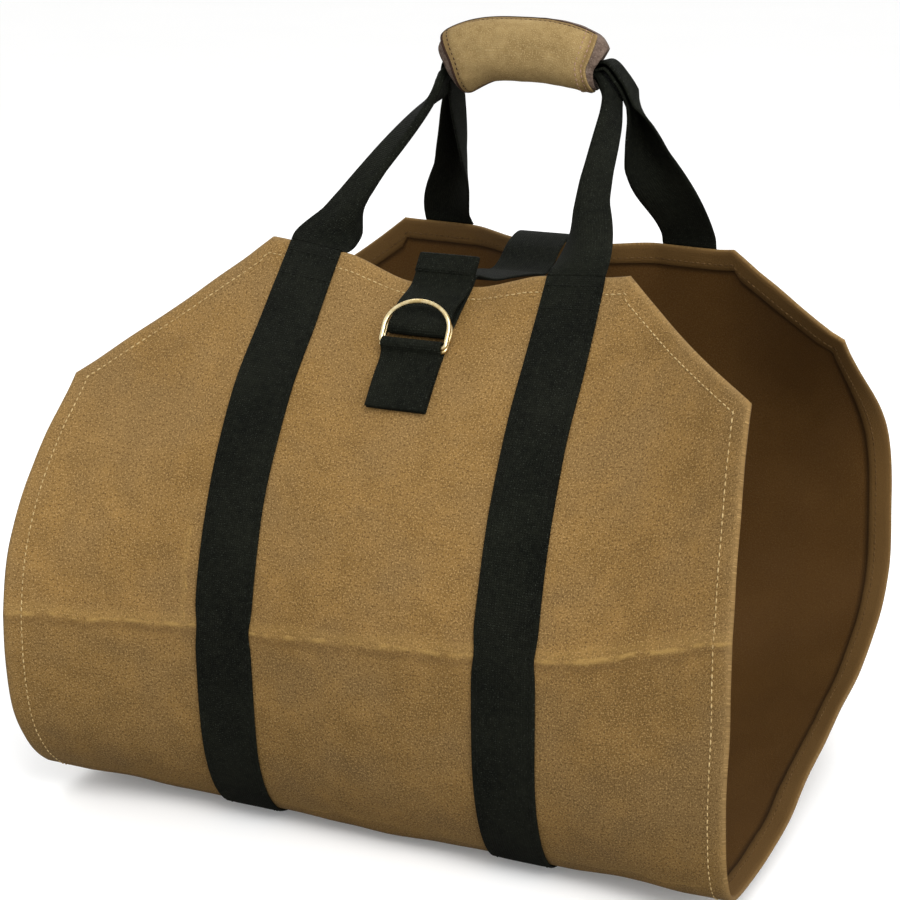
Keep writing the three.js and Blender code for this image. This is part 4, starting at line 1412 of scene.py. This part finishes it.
closure, closure_path, closure_out = flat_run("closure_tape", closure_places, 420, tail_hem)
print("closure strap:", len(closure.data.polygons), "faces")

# %% [markdown]
# A D-ring is a path swept by a circle, which is what Geometry Nodes do best: the script draws
# the path as a loop of edges, and the node tree gives it its wire. The tree is built once,
# with the wire's radius and the material as named inputs, and both rings use it.

# %% Geometry Nodes helpers
GEOMETRY, MATERIAL = "NodeSocketGeometry", "NodeSocketMaterial"


def geometry_tree(name, inputs):
    """Tree that takes a mesh and more named inputs, and gives a mesh."""
    inputs = [("Geometry", GEOMETRY, None), *inputs]
    return new_group(name, inputs, [("Geometry", GEOMETRY)], "GeometryNodeTree")


def run_tree(name, source, tree, **values):
    """Runs a tree on an object and returns its result as a plain mesh object."""
    modifier = source.modifiers.new("maker", "NODES")
    modifier.node_group = tree
    sockets = {s.name: s.identifier for s in tree.interface.items_tree if s.in_out == "INPUT"}
    for key, value in values.items():
        modifier[sockets[key.replace("_", " ")]] = value
    ready = source.evaluated_get(bpy.context.evaluated_depsgraph_get())
    mesh = bpy.data.meshes.new_from_object(ready)
    mesh.name = name
    source.modifiers.remove(modifier)
    bpy.data.objects.remove(source)
    return in_scene(name, mesh)


def finish_tree(tree, geometry, material, out):
    """Ends a tree: instances made real, faces smooth, and a material on all of it."""
    real = made(tree, "GeometryNodeRealizeInstances", {"Geometry": geometry})
    smooth = made(tree, "GeometryNodeSetShadeSmooth", {"Geometry": real})
    painted = made(tree, "GeometryNodeSetMaterial", {"Geometry": smooth, "Material": material})
    put(tree, out["Geometry"], painted)


def even_path(tree, mesh, step):
    """Edges of a mesh as a curve, with points at even steps."""
    path = made(tree, "GeometryNodeMeshToCurve", {"Mesh": mesh})
    return made(tree, "GeometryNodeResampleCurve", {"Curve": path, "Length": step}, mode="LENGTH")


def edge_holder(name, points, edges):
    """Object of points and edges only, for a tree to work on."""
    mesh = bpy.data.meshes.new(name)
    mesh.from_pydata(in_metres(points).tolist(), edges, [])
    return in_scene(name, mesh)


print("helpers for geometry nodes are ready")

# %% [markdown]
# The wire tree turns the edges into a curve, gives it points at even steps and sweeps a circle
# along it. It serves the rings and the piping of the grip. Bending a cylinder with a modifier
# would also do, but then the corners would not keep the wire round.

# %% Wire tree
wire_tree, given, result = geometry_tree(
    "bent wire",
    [("Radius", NUMBER, 0.0018), ("Step", NUMBER, 0.0008), ("Material", MATERIAL, None)],
)
line = even_path(wire_tree, given["Geometry"], given["Step"])
circle = {"Resolution": 16, "Radius": given["Radius"]}
section = made(wire_tree, "GeometryNodeCurvePrimitiveCircle", circle)
parts = {"Curve": line, "Profile Curve": section, "Fill Caps": True}
swept = made(wire_tree, "GeometryNodeCurveToMesh", parts)
finish_tree(wire_tree, swept, given["Material"], result)
print("wire tree:", len(wire_tree.nodes), "nodes")

# %% [markdown]
# Each ring is a straight bar, two short arms and an arc, with its corners rounded. The lower one lies
# on the panel, and the upper one leans out of it, held up by the strap below. They sit a little to
# either side of the middle, because nothing in a cloth tab holds them square. The same tree then makes
# the piping that is sewn round three sides of the grip's panel; along the lower edge that dark piping
# also stands in for the line of shade under the grip.

# %% D-rings and piping
RING_HALF_WIDTH = 21
RING_ARM = 10.5
RING_ARC = 16.5
RING_TILT = 0.28
RING_STAGGER = 0.4
RING_CORNER = 2.4


def edge_loop(name, points, closed=True):
    """Object that holds only a path of edges."""
    count = len(points)
    edges = [(i, (i + 1) % count) for i in range(count if closed else count - 1)]
    return edge_holder(name, points, edges)


def d_ring(name, bar, tilt, shift):
    """Bar, two arms and an arc, in the plane that leans out of the panel by tilt."""
    ahead = np.array([1, tilt]) / math.hypot(1, tilt)
    turns = np.linspace(0, math.pi / 2, 7)
    corner = [(RING_HALF_WIDTH - RING_CORNER * (1 - math.sin(t)), RING_CORNER * (1 - math.cos(t)))
              for t in turns]
    arc = [(RING_HALF_WIDTH * math.cos(t), RING_ARM + RING_ARC * math.sin(t))
           for t in np.linspace(0, math.pi, 41)]
    outline = corner + arc + [(-x, y) for x, y in corner[::-1]]
    points = []
    for x, along_ring in outline:
        point = near_bar(bar[0] + along_ring * ahead[0], bar[1] + along_ring * ahead[1])
        point[0] = x + shift
        points.append(point)
    holder = edge_loop(name, np.array(points))
    return run_tree(name, holder, wire_tree, Radius=ring_radius * MILLIMETRE, Material=brass)


# Along the panel's lower edge the dark piping also stands in for the line of shade under the grip.
PIPING_RADIUS = 0.9
PIPING_BEYOND = 0.01
PIPING_LIFT = 1.1
first, last, round_off = -PIPING_BEYOND, 1 + PIPING_BEYOND, 0.03
border_run = [(u, first) for u in np.linspace(0.985, round_off, 60)]
for t in np.linspace(0.2, 1.4, 6):
    border_run.append((first + round_off * (1 - math.sin(t)), first + round_off * (1 - math.cos(t))))
border_run += [(first, v) for v in np.linspace(round_off, 1 - round_off, 50)]
for t in np.linspace(0.2, 1.4, 6):
    border_run.append((first + round_off * (1 - math.cos(t)), last - round_off * (1 - math.sin(t))))
border_run += [(u, last) for u in np.linspace(round_off, 0.985, 60)]
piping_path = np.array([panel_place(u, v, PIPING_LIFT) for u, v in border_run])
piping_and_shade_line = run_tree(
    "grip_piping_and_shade_line", edge_loop("grip_piping_and_shade_line", piping_path, closed=False), wire_tree,
    Radius=PIPING_RADIUS * MILLIMETRE, Material=brown_thread,
)
print("piping:", len(piping_and_shade_line.data.polygons), "faces")

ring_lower = d_ring("brass_ring_lower", lower_bar, 0.0, -RING_STAGGER)
ring_upper = d_ring("brass_ring_upper", upper_bar, RING_TILT, RING_STAGGER)
print("rings:", len(ring_lower.data.polygons), "faces each")

# %% [markdown]
# Stitches repeat hundreds of times along seams, so a second tree sews them. It takes a path of
# edges that carries the direction out of the cloth, places one short rounded stitch every few
# millimetres, and turns each to lie along the seam and flat on the cloth.

# %% Stitch tree
stitch_tree, given, result = geometry_tree(
    "row of stitches",
    [
        ("Spacing", NUMBER, 0.0042),
        ("Stitch Length", NUMBER, 0.0031),
        ("Thickness", NUMBER, 0.0009),
        ("Unevenness", NUMBER, 0.12),
        ("Seed", "NodeSocketInt", 4),
        ("Material", MATERIAL, None),
    ],
)
line = even_path(stitch_tree, given["Geometry"], given["Spacing"])
sphere = {"Segments": 6, "Rings": 5, "Radius": 0.5}
bead = made(stitch_tree, "GeometryNodeMeshUVSphere", sphere)
sizes = {"X": given["Stitch Length"], "Y": given["Thickness"], "Z": given["Thickness"]}
size = made(stitch_tree, "ShaderNodeCombineXYZ", sizes)
formed = made(stitch_tree, "GeometryNodeTransform", {"Geometry": bead, "Scale": size})
tangent = made(stitch_tree, "GeometryNodeInputTangent")
along_seam = made(stitch_tree, "FunctionNodeAlignRotationToVector", {"Vector": tangent}, axis="X")
named = add(stitch_tree, "GeometryNodeInputNamedAttribute", {"Name": "out"}, data_type="FLOAT_VECTOR")
turned = {"Rotation": along_seam, "Vector": named.outputs["Attribute"]}
on_cloth = made(stitch_tree, "FunctionNodeAlignRotationToVector", turned, axis="Z", pivot_axis="X")
uneven = add(stitch_tree, "FunctionNodeRandomValue", {"Seed": given["Seed"]}, data_type="FLOAT")
least, most = [s for s in uneven.inputs if s.type == "VALUE"][:2]
put(stitch_tree, least, calculate(stitch_tree, "SUBTRACT", 1.0, given["Unevenness"]))
put(stitch_tree, most, calculate(stitch_tree, "ADD", 1.0, given["Unevenness"]))
scale = [s for s in uneven.outputs if s.type == "VALUE"][0]
sewn = {"Points": line, "Instance": formed, "Rotation": on_cloth, "Scale": scale}
stitches = made(stitch_tree, "GeometryNodeInstanceOnPoints", sewn)
finish_tree(stitch_tree, stitches, given["Material"], result)
print("stitch tree:", len(stitch_tree.nodes), "nodes")

# %% [markdown]
# Where the stitches run: round the whole sheet in the middle of its hem band, on both faces,
# along both edges of the sewn straps with bars across each end, in a box on the tab and on
# the sewn end of the closure, across the tail's hem, and round the panel of the grip.

# %% Sewing helper
def sew(name, seams, material, **sizes):
    """Stitches along seams, each a pair of points and directions out of the cloth."""
    points, outs, edges = [], [], []
    for line, out in seams:
        edges += [(len(points) + i, len(points) + i + 1) for i in range(len(line) - 1)]
        points.extend(line)
        outs.extend(out)
    holder = edge_holder(name, points, edges)
    direction = holder.data.attributes.new("out", "FLOAT_VECTOR", "POINT")
    direction.data.foreach_set("vector", np.ravel(outs))
    return run_tree(name, holder, stitch_tree, Material=material, **sizes)


HEM_SEAM = 9.8
STITCH_SINK = 0.12
POINTS_ACROSS, POINTS_DOWN = 220, 420


def hem_seam(inside):
    """The seam round the whole sheet, on its outer or inner face."""
    side = half_width - HEM_SEAM
    across = np.linspace(-side, side, POINTS_ACROSS)
    down = np.linspace(HEM_SEAM, SHEET_LENGTH - HEM_SEAM, POINTS_DOWN)
    places = [
        (across, np.full(POINTS_ACROSS, HEM_SEAM)),
        (np.full(POINTS_DOWN, side), down),
        (across[::-1], np.full(POINTS_ACROSS, SHEET_LENGTH - HEM_SEAM)),
        (np.full(POINTS_DOWN, -side), down[::-1]),
    ]
    seams = []
    for u, v in places:
        share = cloth_share(u, v)
        out = sheet_out(u, share)
        height = -2 * CANVAS_WALL - STITCH_SINK if inside else STITCH_SINK
        seams.append((cloth_point(u, share, height), -out if inside else out))
    return seams


hem_stitches = sew("hem_stitches", hem_seam(False), cream_thread)
lining_stitches = sew("lining_stitches", hem_seam(True), shaded_lining_thread)
print("hem stitches:", len(hem_stitches.data.polygons), "faces")

# %% [markdown]
# The straps are sewn with dark thread on dark tape, so the stitches show only as a fine
# texture in the grooves. Each strap has a seam near both edges, and two short bars across each
# end, where the handle pulls hardest.

# %% Stitches on the straps
inset = WEBBING_WIDTH / 2 - SEAM_INSET
on_strap = CLEARANCE + WEBBING_THICKNESS + STITCH_SINK


def strap_seam(side, across, along, height):
    """Seam on a sewn strap, from millimetres beside its middle and shares along it."""
    out = sheet_out(side * strap_half, along)
    return cloth_point(side * strap_half + across, along) + out * height, out


in_groove = on_strap - SEAM_GROOVE
down_strap, across_strap = np.linspace(0.004, 0.996, 400), np.linspace(-inset, inset, 16)
strap_seams = [
    strap_seam(side, np.full(400, edge * inset), down_strap, in_groove)
    for side in (-1, 1) for edge in (-1, 1)
]
strap_seams += [
    strap_seam(side, across_strap, np.full(16, place), on_strap)
    for side in (-1, 1) for place in (0.006, 0.02, 0.98, 0.994)
]
strap_stitches = sew("strap_stitches", strap_seams, dark_thread, Thickness=0.0008)
print("strap stitches:", len(strap_stitches.data.polygons), "faces")

# %% [markdown]
# The tab and the sewn end of the closure carry the usual box with a cross in it. A seam there
# is given by shares of the tape's path and places across the tape, so it bends with the tape.

# %% Stitches on the closure
def tape_seam(path, outs, height, start, end, across_from, across_to):
    """Seam on a flat run of webbing, between shares of its path and places across it."""
    shares = np.linspace(start, end, 40) * (len(path) - 1)
    index = np.arange(len(path))
    points, out = between(shares, index, path), unit(between(shares, index, outs))
    points[:, 0] += np.linspace(across_from, across_to, 40)
    return points + out * height, out


# About the length of the closure strap's path.
CLOSURE_LENGTH = 300
face_height = WEBBING_THICKNESS / 2 + STITCH_SINK
# Four sides and two diagonals: shares of the box's length, then places across the tape.
box = [(0, 0, -inset, inset), (1, 1, -inset, inset), (0, 1, -inset, -inset), (0, 1, inset, inset),
       (0, 1, -inset, inset), (0, 1, inset, -inset)]


def box_seams(path, outs, start, end):
    """A square of seams with its diagonals."""
    span = end - start
    return [tape_seam(path, outs, face_height, start + a * span, start + b * span, c, d)
            for a, b, c, d in box]


closure_seams = box_seams(tab_path, tab_out, 0.72, 0.97)
closure_seams += box_seams(closure_path, closure_out, 0.015, 0.15)
tail = 1 - (TAIL_HEM - 2) / CLOSURE_LENGTH
closure_seams += [tape_seam(closure_path, closure_out, face_height + 1.2, tail, tail, -inset, inset)]
closure_stitches = sew("closure_stitches", closure_seams, dark_thread, Thickness=0.0008)
print("closure stitches:", len(closure_stitches.data.polygons), "faces")

# %% [markdown]
# The grip's panel is sewn down along three edges in dark thread. Its right end has two rows in
# a pinkish brown one, as the photograph shows. Both are parallel to an edge of the panel, so one
# function makes them from the panel's own shares.

# %% Stitches on the grip
def panel_seam(shares_along, shares_round, inset):
    """Seam on the panel, parallel to one of its edges."""
    points = np.array([panel_place(u, v, padding(inset)) for u, v in zip(shares_along, shares_round)])
    under = np.array([panel_place(u, v, 0.0) for u, v in zip(shares_along, shares_round)])
    return points, unit(points - under)


near, side_in = PANEL_SEAM / panel_round, PANEL_SEAM / panel_width
along_panel, round_panel = np.linspace(side_in, 1 - side_in, 60), np.linspace(near, 1 - near, 60)
dark_seams = [
    panel_seam(along_panel, np.full(60, near), PANEL_SEAM),
    panel_seam(along_panel, np.full(60, 1 - near), PANEL_SEAM),
    panel_seam(np.full(60, side_in), round_panel, PANEL_SEAM),
]
rose_seams = [
    panel_seam(np.full(60, 1 - side_in), round_panel, PANEL_SEAM),
    panel_seam(np.full(60, 1 - 2.6 * side_in), round_panel, PANEL_SEAM * 2),
]
grip_sizes = {"Spacing": 0.0032, "Stitch_Length": 0.0024, "Thickness": 0.0008}
grip_stitches = sew("grip_stitches", dark_seams, brown_thread, **grip_sizes)
grip_end_stitches = sew("grip_end_stitches", rose_seams, rose_thread, **grip_sizes)
print("grip stitches:", len(grip_stitches.data.polygons), "faces")

# %% [markdown]
# Every piece rides on the one body, and each piece that stands for a solid hides that solid.

# %% Tie the pieces to the frame
stands_for = [
    (canvas, "canvas_body", "waxed_canvas"),
    (strap_left, "strap_left", "black_webbing"),
    (strap_right, "strap_right", "black_webbing"),
    (handle_front, "handle_front", "black_webbing"),
    (handle_back, "handle_back", "black_webbing"),
    (sleeve, "grip_pad", "grip_felt"),
    (panel, "grip_face", "grip_canvas"),
    (tab, "ring_tab", "black_webbing"),
    (closure, "closure_strap", "black_webbing"),
    (ring_lower, "d_ring_lower", "brass"),
    (ring_upper, "d_ring_upper", "brass"),
]
for piece, node, slot in stands_for:
    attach(piece, "root")
    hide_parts(node)

sewing = [
    (hem_stitches, "waxed_canvas"),
    (lining_stitches, "waxed_canvas"),
    (strap_stitches, "black_webbing"),
    (closure_stitches, "black_webbing"),
    (grip_stitches, "grip_canvas"),
    (grip_end_stitches, "grip_canvas"),
    (piping_and_shade_line, "grip_canvas"),
]
for piece, slot in sewing:
    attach(piece, "root")
print("pieces:", len(stands_for) + len(sewing))

# %% [markdown]
# The photograph was taken in soft light against white. A pale floor lies just under the lowest
# fold. The main light hangs in front, high and to the right, a lower one beside it reaches into
# the open end, and a weak one behind on the left draws the edge of the far side. The floor looks
# paler to the camera than to the cloth, or it would throw too much light on the underside.

# %% Floor, light and world
FLOOR_GAP = 0.0006
FLOOR_GLOW = 0.12
FLOOR_UNSEEN = (0.4, 0.39, 0.375, 1)
SKY = 0.92
# Name, place and size in metres, power in watts. All of them are turned to one place.
LIGHTS = [
    ("key", (1.0, -1.25, 1.5), 1.3, 33),
    ("fill", (1.7, -1.1, 0.25), 1.4, 15),
    ("rear", (-1.0, 1.4, 1.3), 1.2, 12),
]
LIT_PLACE = (0, 0, -0.22)
floor_z = cad_box[0][2] - FLOOR_GAP
bpy.ops.mesh.primitive_plane_add(size=60, location=(0, 0, floor_z))
floor = bpy.context.object
floor.name = "floor"
pale_floor, tree, shader, place = new_material("pale_floor", "Object")
paper = mix(tree, speckle(tree, place, 3.0, 4.0), (0.92, 0.92, 0.915, 1), (0.95, 0.95, 0.945, 1))
seen = add(tree, "ShaderNodeLightPath").outputs["Is Camera Ray"]
give(tree, shader, {
    "Base Color": mix(tree, seen, FLOOR_UNSEEN, paper),
    "Emission Color": (1, 1, 1, 1),
    "Emission Strength": spread(tree, seen, 0, 1, 0, FLOOR_GLOW),
    "Roughness": 0.9,
    "Specular IOR Level": 0.1,
})
floor.data.materials.append(pale_floor)


for name, place, size, power in LIGHTS:
    lamp = bpy.data.lights.new(name, "AREA")
    lamp.size = size
    lamp.energy = power
    holder = in_scene(name, lamp)
    holder.location = place
    holder.rotation_euler = (Vector(LIT_PLACE) - Vector(place)).to_track_quat("-Z", "Y").to_euler()

world = bpy.data.worlds.new("studio")
world.use_nodes = True
bpy.context.scene.world = world
tree = world.node_tree
seen = add(tree, "ShaderNodeLightPath").outputs["Is Camera Ray"]
sky = {"Color": (1, 1, 1, 1), "Strength": spread(tree, seen, 0, 1, SKY, 1.0)}
give(tree, tree.nodes["Background"], sky)
bpy.context.scene.view_settings.view_transform = "Standard"
print("floor at", round(floor_z, 4))
